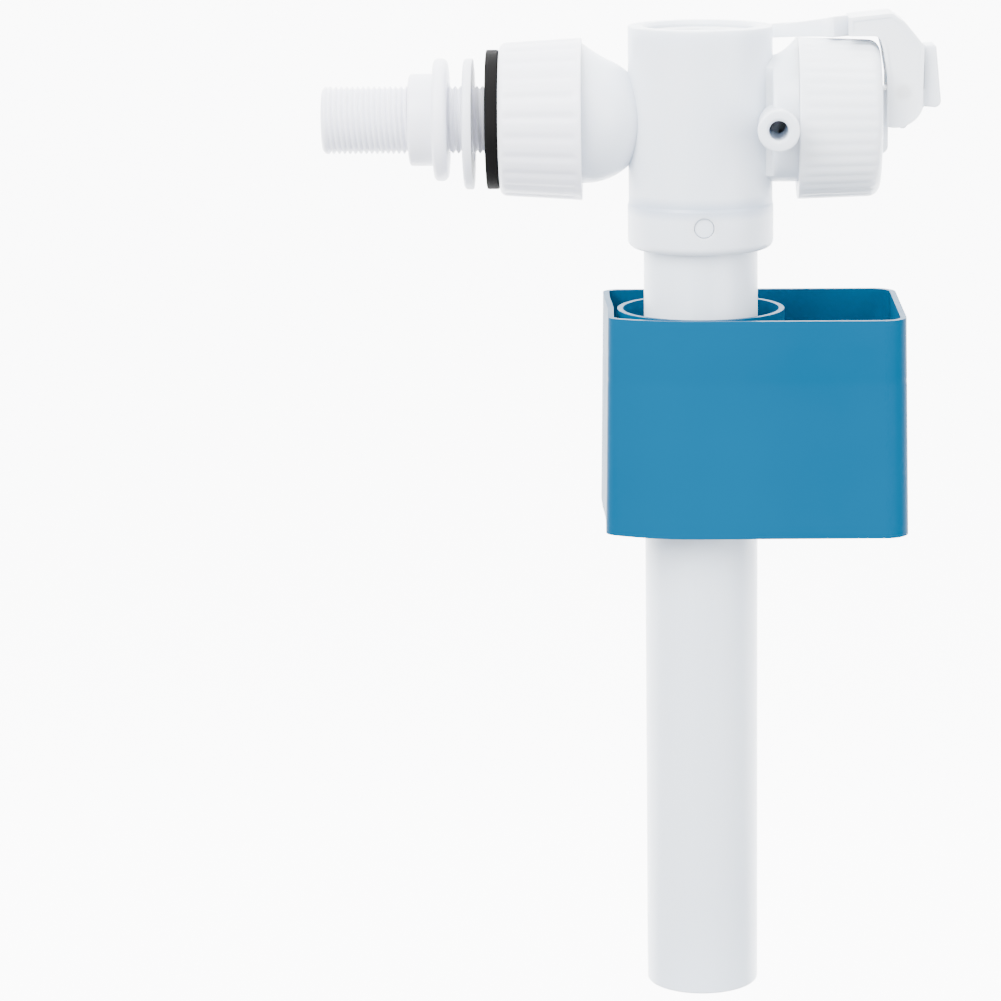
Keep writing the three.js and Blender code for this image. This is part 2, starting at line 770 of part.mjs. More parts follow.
// An insert that snaps between the lever's cheeks and holds the pilot seal.
function sealHolder() {
  const half = lever.cheekInside - pressGap;
  const cupHalf = pilotSeal.radius + pilotSeal.wall;
  const cup = slab([
    [sealFaceX + pilotSeal.setback, -cupHalf],
    [sealBackX + 0.5, -cupHalf],
    [tab.left - 2, tab.bottom - 1.6],
    [tab.left, tab.bottom + 0.4],
    [tab.left, tab.bottom + 5],
    [sealBackX + 0.6, cupHalf],
    [sealFaceX + pilotSeal.setback, cupHalf],
  ], -half, half);
  const flap = slab([
    [tab.left, tab.bottom + 0.4],
    [tab.right - 1.4, tab.bottom + 0.2],
    [tab.right - 0.2, tab.bottom + 1],
    [tab.right, tab.bottom + 2],
    [tab.right - 1.8, tab.top - 0.4],
    [tab.right - 2.2, tab.top],
    [tab.left + 0.4, tab.top],
    [tab.left + 0.2, tab.bottom + 5],
    [tab.left, tab.bottom + 5],
  ], -tab.width / 2, tab.width / 2);
  const pocket = cylinder('x', pilotSeal.radius + pressGap, sealFaceX - 1, sealBackX + pressGap, 16);
  return cut(union(cup, flap), pocket);
}

function pilotSealPiece() {
  return cylinder('x', pilotSeal.radius, sealFaceX, sealBackX, 16);
}

// ---------------------------------------------------------------- rod and float

function linkBlockPiece() {
  const block = box(
    [rod.x - linkBlock.halfX, rod.y - linkBlock.halfY, linkBlock.bottom],
    [rod.x + linkBlock.halfX, rod.y + linkBlock.halfY, linkBlock.top]);
  const reach = linkBlock.halfY + 0.7 + fork.prong;
  const pins = cylinder('y', linkBlock.pinRadius, -reach, reach, 16)
    .translate([rod.x, rod.y, linkBlock.pinHeight]);
  const hole = cylinder('z', rod.radius + fitGap, linkBlock.bottom - 1, linkBlock.top + 1, 20)
    .translate([rod.x, rod.y, 0]);
  return cut(union(block, pins), hole);
}

function adjustingRod() {
  const knobTop = rod.top + rod.knobHeight;
  const clipTop = linkBlock.bottom - fitGap;
  return fluted('z', [
    [rod.bottom, 0],
    [rod.bottom, 0.6],
    [rod.bottom + rod.tip, rod.radius],
    [clipTop - rodClip.thickness, rod.radius],
    [clipTop - rodClip.thickness, rod.radius - 0.5],
    [clipTop, rod.radius - 0.5],
    [clipTop, rod.radius],
    [rod.top, rod.radius],
    [rod.top, rod.knobRadius],
    [knobTop - 0.5, rod.knobRadius],
    [knobTop, rod.knobRadius - 0.5],
    [knobTop, 0],
  ], 8, 0.5, rod.knobRadius - 0.2, 3).translate([rod.x, rod.y, 0]);
}

// An open clip in the rod's groove, under the link block.
function rodClipPiece() {
  const top = linkBlock.bottom - fitGap - 0.2;
  const low = top - rodClip.thickness + 0.4;
  const inner = rod.radius - 0.5 + 0.15;
  const mouth = box([-2 * rodClip.radius, -inner, low - 1], [0, inner, top + 1]);
  return ring('z', inner, rodClip.radius, low, top, 20).subtract(mouth).translate([rod.x, rod.y, 0]);
}

const sleeveInner = floatNut.radius + fitGap;
const sleeveOuter = sleeveInner + float.sleeveWall;

// The float's outline at its rim, drawn inwards by inset. The front wall runs straight from the
// right corner to the valve's axis, then bends around the collar to the left corner.
function floatOutline(inset) {
  const { left, right, front, back, corner, cornerLeft, bulgeRadius, flare } = float;
  const bendRun = bulgeRadius - cornerLeft;
  const bend = Math.acos((left + cornerLeft - body.place) / bendRun);
  const cornerX = body.place + bendRun * Math.cos(bend);
  const cornerY = front + bulgeRadius - bendRun * Math.sin(bend);
  const bendAngle = -THREE.MathUtils.radToDeg(bend);
  const middle = (cornerY + back) / 2;
  return [
    ...arc(cornerX, cornerY, cornerLeft - inset, -180, bendAngle, 4),
    ...arc(body.place, front + bulgeRadius, bulgeRadius - inset, bendAngle + 6, -90, 4),
    ...arc(right - corner, front + corner, corner - inset, -90, 0, 6),
    ...arc(right - corner, back - corner, corner - inset, 0, 90, 6),
    ...arc(left - flare + cornerLeft, back - cornerLeft, cornerLeft - inset, 90, 180, 4),
    [left - 0.4 * flare + inset, middle],
  ];
}

// The outline carried down, leaning out by the draft.
function floatBlock(inset, low, high) {
  const block = raised(floatOutline(inset), low, high);
  const centre = [(float.left + float.right) / 2, (float.front + float.back) / 2];
  const half = [(float.right - float.left) / 2, (float.back - float.front) / 2];
  return block.warp((vertex) => {
    const lean = (float.draft * (float.top - vertex[2])) / (float.top - float.bottom);
    for (const axis of [0, 1]) {
      vertex[axis] = centre[axis] + (vertex[axis] - centre[axis]) * (1 + lean / half[axis]);
    }
  });
}

function floatCup() {
  const collar = cylinder('z', collarOuter, float.bottom, float.top, roundSteps)
    .translate([body.place, 0, 0]);
  const sleeve = cylinder('z', sleeveOuter, float.bottom + 1, float.partition + 2.4, 20)
    .translate([rod.x, rod.y, 0]);
  const kept = union(collar, sleeve);
  const tray = cut(floatBlock(float.wall, float.partition, float.top + 1), kept);
  const cup = cut(floatBlock(float.wall, float.bottom - 1, float.partition - float.partitionWall), kept);
  const collarBore = cylinder('z', collarInner, float.bottom - 1, float.top + 1, roundSteps)
    .translate([body.place, 0, 0]);
  const sleeveBore = cylinder('z', sleeveInner, float.bottom - 1, float.top, 20)
    .translate([rod.x, rod.y, 0]);
  return cut(floatBlock(0, float.bottom, float.top), tray, cup, collarBore, sleeveBore);
}

function floatNutPiece() {
  const seat = float.partition + 2.4 + pressGap;
  return turned('z', [
    [seat - floatNut.length, rod.radius + threadGap],
    [seat - floatNut.length, floatNut.radius],
    [seat, floatNut.radius],
    [seat, floatNut.flangeRadius],
    [seat + floatNut.flangeThickness, floatNut.flangeRadius],
    [seat + floatNut.flangeThickness, rod.radius + threadGap],
    [seat - floatNut.length, rod.radius + threadGap],
  ], 20).translate([rod.x, rod.y, 0]);
}

// ---------------------------------------------------------------- assembly

add('inlet_shank', inletShank(), brightWhite());
add('inlet_filter', inletFilter(), plastic(0xe8e8e0, 0.5));
add('rubber_washer', rubberWasherPiece(), rubber());
add('inlet_seal', inletSealPiece(), rubber());
add('plain_washer', plainWasherPiece(), plastic(0xdfe1e6, 0.45));
add('backnut', backnutPiece(), brightWhite());
add('union_nut', unionNutPiece(), brightWhite());
add('valve_body', valveBody(), naturalWhite());
add('top_insert', topInsertPiece(), naturalWhite());
add('discharge_tube', dischargeTube(), plastic(0xdde4ee, 0.35));
add('tube_seal', tubeSealPiece(), rubber());
add('diaphragm', diaphragmPiece(), rubber());
add('diaphragm_plate', diaphragmPlate(), plastic(0xd8d8d8, 0.5));
add('bleed_pin', bleedPinPiece(), steel());
add('bonnet', bonnetPiece(), naturalWhite());
add('bonnet_nut', bonnetNutPiece(), naturalWhite());
add('float_lever', floatLever(), naturalWhite());
add('pivot_pin', pivotPinPiece(), naturalWhite());
add('seal_holder', sealHolder(), naturalWhite());
add('pilot_seal', pilotSealPiece(), rubber());
add('link_block', linkBlockPiece(), black());
add('adjusting_rod', adjustingRod(), black());
add('rod_clip', rodClipPiece(), black());
add('float_cup', floatCup(), plastic(0x188cbc, 0.3));
add('float_nut', floatNutPiece(), plastic(0x188cbc, 0.35));

export default valve;
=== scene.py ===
import math

import bmesh
import bpy
from mathutils import Matrix, Vector


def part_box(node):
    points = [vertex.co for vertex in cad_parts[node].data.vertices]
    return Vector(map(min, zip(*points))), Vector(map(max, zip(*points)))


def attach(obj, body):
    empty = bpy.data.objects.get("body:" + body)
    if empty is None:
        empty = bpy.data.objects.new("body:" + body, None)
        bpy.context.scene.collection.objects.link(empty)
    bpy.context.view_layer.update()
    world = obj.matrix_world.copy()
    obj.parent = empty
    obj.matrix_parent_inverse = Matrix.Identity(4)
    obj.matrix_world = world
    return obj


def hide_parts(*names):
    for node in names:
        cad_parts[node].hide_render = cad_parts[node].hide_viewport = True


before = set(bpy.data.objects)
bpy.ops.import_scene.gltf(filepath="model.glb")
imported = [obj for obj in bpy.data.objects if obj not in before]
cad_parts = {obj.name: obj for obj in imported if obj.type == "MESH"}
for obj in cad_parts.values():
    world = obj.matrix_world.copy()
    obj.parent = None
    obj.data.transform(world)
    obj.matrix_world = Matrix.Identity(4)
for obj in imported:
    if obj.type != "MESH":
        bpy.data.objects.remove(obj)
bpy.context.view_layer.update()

# Every size below is in millimetres; finish_piece turns the mesh into metres.
MM = 0.001

AXES = {"x": Vector((1, 0, 0)), "y": Vector((0, 1, 0)), "z": Vector((0, 0, 1))}


def box_mm(node):
    """Lowest and highest corner of a CAD node, in millimetres."""
    low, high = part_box(node)
    return Vector(low) / MM, Vector(high) / MM


# ---------------------------------------------------------------- sizes read from the frame

tail_low, tail_high = box_mm("inlet_shank")
rubber_high = box_mm("rubber_washer")[1]
washer_low, washer_high = box_mm("plain_washer")
backnut_low, backnut_high = box_mm("backnut")
union_low, union_high = box_mm("union_nut")
tube_low, tube_high = box_mm("discharge_tube")
body_low, body_high = box_mm("valve_body")
head_nut_low, head_nut_high = box_mm("bonnet_nut")
bonnet_low = box_mm("bonnet")[0]
lever_high = box_mm("float_lever")[1]
tab_low, tab_high = box_mm("seal_holder")
link_low, link_high = box_mm("link_block")
rod_low, rod_high = box_mm("adjusting_rod")
float_low, float_high = box_mm("float_cup")
bush_low, bush_high = box_mm("float_nut")
insert_low, insert_high = box_mm("top_insert")

VALVE_X = (insert_low.x + insert_high.x) / 2  # the valve's vertical axis
ROD_X = (rod_low.x + rod_high.x) / 2
ROD_Y = (rod_low.y + rod_high.y) / 2
TUBE_RADIUS = (tube_high.x - tube_low.x) / 2
BODY_STEP = 0.25  # the lower ring stands this far proud
BODY_RADIUS = body_high.y - BODY_STEP
STEP_Z = -21.1
NECK_RADIUS = 15.6
DOME_X = 24.2
DOME_RADIUS = 15.7
NOZZLE_X = 71.1

THREAD_PITCH = 1.337
THREAD_DEPTH = 0.75
TAIL_RADIUS = 8.33


# ---------------------------------------------------------------- shaping

def rounded(points, segments=5):
    """Points (a, b) or (a, b, round): a corner with a round becomes an arc."""
    outline = []
    count = len(points)
    for i, point in enumerate(points):
        corner = Vector(point[:2])
        if len(point) < 3:
            outline.append(tuple(corner))
            continue
        before = (Vector(points[i - 1][:2]) - corner).normalized()
        after = (Vector(points[(i + 1) % count][:2]) - corner).normalized()
        half = before.angle(after) / 2
        reach = point[2] / math.tan(half)
        centre = corner + (before + after).normalized() * (point[2] / math.sin(half))
        start = corner + before * reach - centre
        end = corner + after * reach - centre
        turn = start.angle_signed(end)
        for k in range(segments + 1):
            spoke = start.copy()
            spoke.rotate(Matrix.Rotation(-turn * k / segments, 2))
            outline.append(tuple(centre + spoke))
    return outline


def on_axis(axis, along, radius):
    if axis == "x":
        return Vector((along, 0, radius))
    if axis == "y":
        return Vector((radius, along, 0))
    return Vector((radius, 0, along))


def turned(axis, outline, steps=96, through=True):
    """An outline of (along, radius) spun about an axis. With through, it is a ring with a hole."""
    bm = bmesh.new()
    corners = [bm.verts.new(on_axis(axis, along, radius)) for along, radius in outline]
    pairs = list(zip(corners, corners[1:]))
    if through:
        pairs.append((corners[-1], corners[0]))
    edges = [bm.edges.new(pair) for pair in pairs]
    bmesh.ops.spin(bm, geom=corners + edges, cent=(0, 0, 0), axis=AXES[axis],
                   angle=2 * math.pi, steps=steps, use_merge=True, use_duplicate=False)
    bmesh.ops.remove_doubles(bm, verts=bm.verts[:], dist=1e-4)
    bmesh.ops.recalc_face_normals(bm, faces=bm.faces[:])
    return bm


def moved(bm, x=0.0, y=0.0, z=0.0):
    bmesh.ops.translate(bm, verts=bm.verts[:], vec=(x, y, z))
    return bm


def raised(outline, direction, low, high):
    """An outline raised along Z from its XY plane, or along Y from its XZ plane."""
    bm = bmesh.new()
    if direction == "z":
        corners = [bm.verts.new((a, b, low)) for a, b in outline]
        lift = Vector((0, 0, high - low))
    else:
        corners = [bm.verts.new((a, low, b)) for a, b in outline]
        lift = Vector((0, high - low, 0))
    face = bm.faces.new(corners)
    grown = bmesh.ops.extrude_face_region(bm, geom=[face])["geom"]
    top = [part for part in grown if isinstance(part, bmesh.types.BMVert)]
    bmesh.ops.translate(bm, verts=top, vec=lift)
    bmesh.ops.recalc_face_normals(bm, faces=bm.faces[:])
    return bm


def block(low, high):
    bm = bmesh.new()
    bmesh.ops.create_cube(bm, size=1)
    size = Vector(high) - Vector(low)
    bmesh.ops.scale(bm, verts=bm.verts[:], vec=size)
    bmesh.ops.translate(bm, verts=bm.verts[:], vec=Vector(low) + size / 2)
    return bm


def round_bar(axis, radius, low, high, steps=48):
    return turned(axis, [(low, 0), (low, radius), (high, radius), (high, 0)], steps, through=False)


def around(axis, place):
    """(along, radius, angle) of a point about an axis through the origin."""
    if axis == "x":
        return place.x, math.hypot(place.y, place.z), math.atan2(place.z, place.y)
    if axis == "y":
        return place.y, math.hypot(place.x, place.z), math.atan2(place.x, place.z)
    return place.z, math.hypot(place.x, place.y), math.atan2(place.y, place.x)


def change_radius(axis, vert, factor):
    keep = AXES[axis] * vert.co.dot(AXES[axis])
    vert.co = keep + (vert.co - keep) * factor


def flute(bm, axis, count, depth, low, high, fade, least_radius, sharpness=1.6):
    """Lowers narrow grooves into the outside of a round, fading out at both ends."""
    for vert in bm.verts:
        along, radius, angle = around(axis, vert.co)
        if radius < least_radius or not low < along < high:
            continue
        ends = min(1.0, (along - low) / fade, (high - along) / fade)
        groove = (0.5 - 0.5 * math.cos(count * angle)) ** sharpness
        change_radius(axis, vert, (radius - depth * groove * ends) / radius)
    return bm


def cut_thread(bm, axis, crest, depth, pitch, low, high):
    """Cuts a right-hand thread into a round whose outline has rows along it."""
    for vert in bm.verts:
        along, radius, angle = around(axis, vert.co)
        if abs(radius - crest) > 0.01 or not low < along < high:
            continue
        ends = min(1.0, (along - low) / pitch, (high - along) / pitch)
        wave = 0.5 - 0.5 * math.cos(2 * math.pi * (along / pitch - angle / (2 * math.pi)))
        change_radius(axis, vert, (radius - depth * ends * wave ** 0.9) / radius)
    return bm


def rows(low, high, gap):
    """Places from low to high, at most gap apart."""
    count = math.ceil((high - low) / gap)
    return [low + (high - low) * i / count for i in range(count + 1)]


def arc(a, b, radius, start, end, segments):
    """Points on an arc about (a, b), with its angles in degrees."""
    turns = [math.radians(start + (end - start) * i / segments) for i in range(segments + 1)]
    return [(a + radius * math.cos(turn), b + radius * math.sin(turn)) for turn in turns]


def as_mesh(bm, name):
    mesh = bpy.data.meshes.new(name)
    bm.to_mesh(mesh)
    bm.free()
    return mesh


def boolean(whole, others, operation):
    """Joins or cuts bmeshes with the exact solver and gives back a bmesh."""
    base = bpy.data.objects.new("base", as_mesh(whole, "base"))
    bpy.context.scene.collection.objects.link(base)
    tools = []
    for other in others:
        tool = bpy.data.objects.new("tool", as_mesh(other, "tool"))
        bpy.context.scene.collection.objects.link(tool)
        modifier = base.modifiers.new("step", "BOOLEAN")
        modifier.operation = operation
        modifier.solver = "EXACT"
        modifier.object = tool
        tools.append(tool)
    bpy.context.view_layer.update()
    result = bmesh.new()
    result.from_mesh(base.evaluated_get(bpy.context.evaluated_depsgraph_get()).to_mesh())
    for leftover in [base] + tools:
        mesh = leftover.data
        bpy.data.objects.remove(leftover)
        bpy.data.meshes.remove(mesh)
    bmesh.ops.remove_doubles(result, verts=result.verts[:], dist=1e-4)
    bmesh.ops.dissolve_degenerate(result, edges=result.edges[:], dist=1e-4)
    return result


def joined(whole, *others):
    return boolean(whole, others, "UNION")


def cut(whole, *others):
    return boolean(whole, others, "DIFFERENCE")


def soften(bm, width, angle=40, segments=3):
    """Rounds every edge that is sharper than an angle."""
    limit = math.radians(angle)
    sharp = [edge for edge in bm.edges if len(edge.link_faces) == 2 and edge.calc_face_angle() > limit]
    bmesh.ops.bevel(bm, geom=sharp, offset=width, offset_type="OFFSET", affect="EDGES",
                    segments=segments, profile=0.5, material=-1, clamp_overlap=True)
    return bm


def finish_piece(name, bm, body, nodes, material, smooth=35):
    """Makes the object in metres, smooth but for its sharp edges, and hands it to the frame."""
    bmesh.ops.scale(bm, verts=bm.verts[:], vec=(MM, MM, MM))
    limit = math.radians(smooth)
    for edge in bm.edges:
        edge.smooth = len(edge.link_faces) == 2 and edge.calc_face_angle() < limit
    for face in bm.faces:
        face.smooth = True
    piece = bpy.data.objects.new(name, as_mesh(bm, name))
    bpy.context.scene.collection.objects.link(piece)
    piece.data.materials.append(material)
    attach(piece, body)
    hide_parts(*nodes)
    return piece


# ---------------------------------------------------------------- finishes

def plastic(name, light, dark, roughness, milky=0.0, depth_mm=(3, 3, 3), grain=0.02, cloud_mm=30, shine=0.5):
    """Moulded plastic: slow clouding of the colour, a fine moulded grain and an uneven gloss."""
    material = bpy.data.materials.new(name)
    material.use_nodes = True
    nodes = material.node_tree.nodes
    links = material.node_tree.links
    shader = nodes["Principled BSDF"]
    shader.inputs["IOR"].default_value = 1.49
    shader.inputs["Specular IOR Level"].default_value = shine
    shader.inputs["Subsurface Weight"].default_value = milky
    shader.inputs["Subsurface Radius"].default_value = [size * MM for size in depth_mm]
    shader.inputs["Subsurface Scale"].default_value = 1.0
    place = nodes.new("ShaderNodeTexCoord")

    def noise(scale_mm, detail):
        texture = nodes.new("ShaderNodeTexNoise")
        texture.inputs["Scale"].default_value = 1 / (scale_mm * MM)
        texture.inputs["Detail"].default_value = detail
        links.new(place.outputs["Object"], texture.inputs["Vector"])
        return texture.outputs["Fac"]

    colour = nodes.new("ShaderNodeValToRGB")
    colour.color_ramp.elements[0].position = 0.3
    colour.color_ramp.elements[0].color = (*dark, 1)
    colour.color_ramp.elements[1].position = 0.7
    colour.color_ramp.elements[1].color = (*light, 1)
    links.new(noise(cloud_mm, 3), colour.inputs["Fac"])
    links.new(colour.outputs["Color"], shader.inputs["Base Color"])

    gloss = nodes.new("ShaderNodeMapRange")
    gloss.inputs["To Min"].default_value = roughness - 0.05
    gloss.inputs["To Max"].default_value = roughness + 0.06
    links.new(noise(9, 4), gloss.inputs["Value"])
    links.new(gloss.outputs["Result"], shader.inputs["Roughness"])

    bump = nodes.new("ShaderNodeBump")
    bump.inputs["Strength"].default_value = 0.35
    bump.inputs["Distance"].default_value = grain * MM
    links.new(noise(0.9, 6), bump.inputs["Height"])
    links.new(bump.outputs["Normal"], shader.inputs["Normal"])
    return material


def paint_shade_band(material, low, high, shade_colour):
    """Paints a band of shade into the colour at a height (mm): painted shade for what is inside showing dark
    through the wall.
    """
    nodes = material.node_tree.nodes
    links = material.node_tree.links
    shader = nodes["Principled BSDF"]
    colour = shader.inputs["Base Color"].links[0].from_socket
    place = nodes.new("ShaderNodeTexCoord")
    height = nodes.new("ShaderNodeSeparateXYZ")
    links.new(place.outputs["Object"], height.inputs["Vector"])
    share = nodes.new("ShaderNodeMapRange")
    share.inputs["From Min"].default_value = low * MM
    share.inputs["From Max"].default_value = high * MM
    links.new(height.outputs["Z"], share.inputs["Value"])
    band = nodes.new("ShaderNodeValToRGB")
    band.color_ramp.interpolation = "B_SPLINE"
    band.color_ramp.elements[0].color = (1, 1, 1, 1)
    band.color_ramp.elements[1].color = (1, 1, 1, 1)
    band.color_ramp.elements.new(0.5).color = (*shade_colour, 1)
    links.new(share.outputs["Result"], band.inputs["Fac"])
    shade = nodes.new("ShaderNodeMix")
    shade.data_type = "RGBA"
    shade.blend_type = "MULTIPLY"
    shade.inputs["Factor"].default_value = 1.0
    links.new(colour, shade.inputs["A"])
    links.new(band.outputs["Color"], shade.inputs["B"])
    links.new(shade.outputs["Result"], shader.inputs["Base Color"])
    return material


TAIL_WHITE = plastic("moulded_bright_white", (0.86, 0.87, 0.93), (0.82, 0.83, 0.90), 0.34, milky=0.25,
                     depth_mm=(2, 2, 2.4), grain=0.03)
WASHER_WHITE = plastic("washer_translucent_white", (0.74, 0.76, 0.80), (0.70, 0.72, 0.77), 0.4, milky=0.4,
                       depth_mm=(2, 2, 2.4), grain=0.03)
BODY_WHITE = plastic("natural_white_plastic", (0.80, 0.83, 0.87), (0.76, 0.80, 0.85), 0.33, milky=0.35,
                     depth_mm=(3, 3.3, 3.8), grain=0.03)
# The body's material gets a darker bluish band of painted shade around the step, for the tube's end and seal
# showing through the wall.
BODY_SHELL_PAINTED_SHADE = paint_shade_band(
    plastic("natural_white_shell_painted_shade", (0.80, 0.83, 0.87), (0.76, 0.80, 0.85), 0.33, milky=0.6,
            depth_mm=(4, 4.3, 4.8), grain=0.03), STEP_Z - 2.4, STEP_Z + 3.4, (0.42, 0.5, 0.62))
TUBE_WHITE = plastic("extruded_tube_plastic", (0.70, 0.76, 0.83), (0.67, 0.73, 0.81), 0.3, milky=0.35,
                     depth_mm=(3, 3.3, 3.8), grain=0.015, cloud_mm=60)
FILTER_WHITE = plastic("filter_nylon", (0.72, 0.72, 0.68), (0.66, 0.66, 0.62), 0.45, milky=0.2)
RUBBER = plastic("black_rubber", (0.0042, 0.00385, 0.00385), (0.00245, 0.00245, 0.00245), 0.75,
                 grain=0.06, cloud_mm=8, shine=0.08)
BLACK = plastic("black_acetal", (0.0088, 0.0088, 0.0096), (0.0056, 0.0056, 0.0064), 0.42, grain=0.03,
                shine=0.1)
BLUE = plastic("float_blue_plastic", (0.0, 0.06, 0.13), (0.0, 0.055, 0.12), 0.34, grain=0.004, cloud_mm=45,
               shine=0.02)


def drawn_wire():
    material = plastic("stainless_wire", (0.62, 0.63, 0.65), (0.5, 0.51, 0.53), 0.25, grain=0.01, cloud_mm=2)
    material.node_tree.nodes["Principled BSDF"].inputs["Metallic"].default_value = 1.0
    return material


# ---------------------------------------------------------------- inlet pieces

SHOULDER_X = union_low.x  # the rubber washer's inner face, with its small gap
FLANGE_X = SHOULDER_X + 2.9
TAIL_BORE = 5.2
FILTER_SEAT = 6.2


def inlet_tail():
    end = tail_low.x
    thread_end = SHOULDER_X - 0.4
    outline = [(end, FILTER_SEAT), (end, TAIL_RADIUS - 0.9), (end + 0.5, TAIL_RADIUS - 0.25)]
    outline += [(x, TAIL_RADIUS) for x in rows(end + 0.9, thread_end, THREAD_PITCH / 9)]
    outline += rounded([
        (SHOULDER_X, TAIL_RADIUS), (SHOULDER_X, 12, 0.4), (FLANGE_X, 12), (FLANGE_X, 15.4, 0.4),
        (tail_high.x, 15.4, 0.4), (tail_high.x, TAIL_BORE, 0.3), (end + 1.7, TAIL_BORE),
        (end + 1.7, FILTER_SEAT)], 3)
    bm = turned("x", outline, 96)
    cut_thread(bm, "x", TAIL_RADIUS, THREAD_DEPTH, THREAD_PITCH, end + 0.8, thread_end)
    finish_piece("threaded_tail", bm, "tail", ["inlet_shank"], TAIL_WHITE, 50)


def filter_basket():
    low, high = box_mm("inlet_filter")
    radius, wall, seat = 4.6, 0.8, high.z
    shell = turned("x", rounded([
        (low.x, radius - wall), (low.x, seat, 0.3), (low.x + 1.4, seat, 0.3), (low.x + 1.4, radius),
        (high.x, radius, 0.8), (high.x, 0.01), (high.x - wall, 0.01), (high.x - wall, radius - wall)], 4), 72)
    slots = []
    for i in range(3):
        slot = block((low.x + 2.9, -seat, -1.3), (high.x - 2.5, seat, 1.3))
        bmesh.ops.rotate(slot, verts=slot.verts[:], cent=(0, 0, 0),
                         matrix=Matrix.Rotation(math.radians(60 * i), 3, "X"))
        slots.append(slot)
    bm = cut(shell, *slots)
    finish_piece("filter_basket", bm, "tail", ["inlet_filter"], FILTER_WHITE)


def flat_rings():
    """The rubber washer and the seal inside the union nut."""
    outer = rubber_high.z
    ring = turned("x", rounded([
        (0, TAIL_RADIUS + 0.3, 0.2), (0, outer, 0.35), (1.5, outer), (rubber_high.x, outer, 0.35),
        (rubber_high.x, TAIL_RADIUS + 0.3, 0.2)], 4), 128)
    finish_piece("rubber_wall_washer", ring, "tail", ["rubber_washer"], RUBBER)
    low, high = box_mm("inlet_seal")
    seal = turned("x", rounded([
        (low.x, 7.5, 0.2), (low.x, high.z, 0.3), (high.x, high.z, 0.3), (high.x, 7.5, 0.2)], 3), 96)
    finish_piece("union_seal", seal, "tail", ["inlet_seal"], RUBBER)


def loose_washer():
    sag = -(washer_low.z + washer_high.z) / 2
    radius = (washer_high.z - washer_low.z) / 2
    hole = TAIL_RADIUS + sag + 0.2
    ring = turned("x", rounded([
        (washer_low.x, hole, 0.3), (washer_low.x, radius, 0.9), (washer_high.x, radius, 0.25),
        (washer_high.x, hole, 0.3)], 5), 128)
    finish_piece("plain_wall_washer", moved(ring, z=-sag), "loose_washer", ["plain_washer"],
                 WASHER_WHITE)


def wall_backnut():
    flange_x = backnut_high.x - 3.5
    hub = 11.35
    hole = TAIL_RADIUS + 0.3
    outline = [(x, hole) for x in rows(backnut_low.x + 0.5, backnut_high.x - 0.5, THREAD_PITCH / 8)][::-1]
    outline += rounded([
        (backnut_low.x, hole + 0.5), (backnut_low.x, hub, 0.9), (flange_x, hub, 0.5),
        (flange_x, backnut_high.z, 1.2), (backnut_high.x, backnut_high.z, 1.5),
        (backnut_high.x, hole + 0.5)], 6)
    bm = turned("x", outline, 96)
    finish_piece("fluted_backnut", bm, "wall_nut", ["backnut"], TAIL_WHITE, 40)


def fluted_union_nut():
    low, high = union_low.x, union_high.x
    small, large = 18.8, union_high.z
    inner = 16.3
    outline = rounded([
        (low, 12.3, 0.3), (low, small, 1.9), (high, large, 0.35), (high, inner, 0.5),
        (low + 2.6, inner, 0.4), (low + 2.6, 12.3, 0.2)], 6)
    outline = refine(outline, 0.8)
    bm = turned("x", outline, 24 * 10)
    flute(bm, "x", 24, 0.34, low + 0.9, high - 0.9, 0.9, small - 0.9, 2.6)
    finish_piece("union_nut_fluted", bm, "union", ["union_nut"], TAIL_WHITE, 50)


def refine(outline, gap):
    """Adds points on the long stretches of a closed outline."""
    finer = []
    for (a0, b0), (a1, b1) in zip(outline, outline[1:] + outline[:1]):
        count = max(1, math.ceil(math.hypot(a1 - a0, b1 - b0) / gap))
        finer += [(a0 + (a1 - a0) * k / count, b0 + (b1 - b0) * k / count) for k in range(count)]
    return finer


# ---------------------------------------------------------------- valve body

SOCKET_TOP = tube_high.z + 0.3
BORE = 13.75
LEDGE_BORE = 12.2
SOCKET_RADIUS = TUBE_RADIUS + 0.25
TUBE_WALL = 1.4
NECK_X = VALVE_X + BODY_RADIUS - 0.35  # where the round neck starts, beside the body
NECK_END = 89.3
NECK_BORE = 12.4
FEED_RADIUS = 7.0
FEED_BORE = 4.8
SEAT_X = NECK_END - 0.9
HOSE_BORE = 2.4
LUG_Z = -24.9
LUG_TURN = 2  # degrees off the front
DOME_START = SHOULDER_X + 7.9


def flare_top(bm, start, end, amount):
    """Lifts the top of a neck towards the nut at start, fading out at end."""
    for vert in bm.verts:
        x, radius, _ = around("x", vert.co)
        share = (x - end) / (start - end)
        if vert.co.z <= 0 or radius < 13 or not 0 < share < 1.08:
            continue
        upward = (vert.co.z / radius) ** 2
        change_radius("x", vert, 1 + amount * share ** 1.7 * upward / radius)
    return bm


def body_shell():
    lower = BODY_RADIUS + BODY_STEP
    return moved(turned("z", rounded([
        (body_low.z, BODY_RADIUS - 5), (body_low.z, lower, 2.0), (STEP_Z, lower, 0.2),
        (STEP_Z + 0.7, BODY_RADIUS, 0.5), (body_high.z, BODY_RADIUS, 0.35), (body_high.z, BORE + 0.7, 0.2),
        (body_high.z - 0.8, BORE), (SOCKET_TOP + 1.6, BORE, 0.5), (SOCKET_TOP + 1.6, LEDGE_BORE, 0.3),
        (SOCKET_TOP, LEDGE_BORE, 0.3), (SOCKET_TOP, SOCKET_RADIUS), (body_low.z, SOCKET_RADIUS, 0.4),
    ], 6), 160), x=VALVE_X)


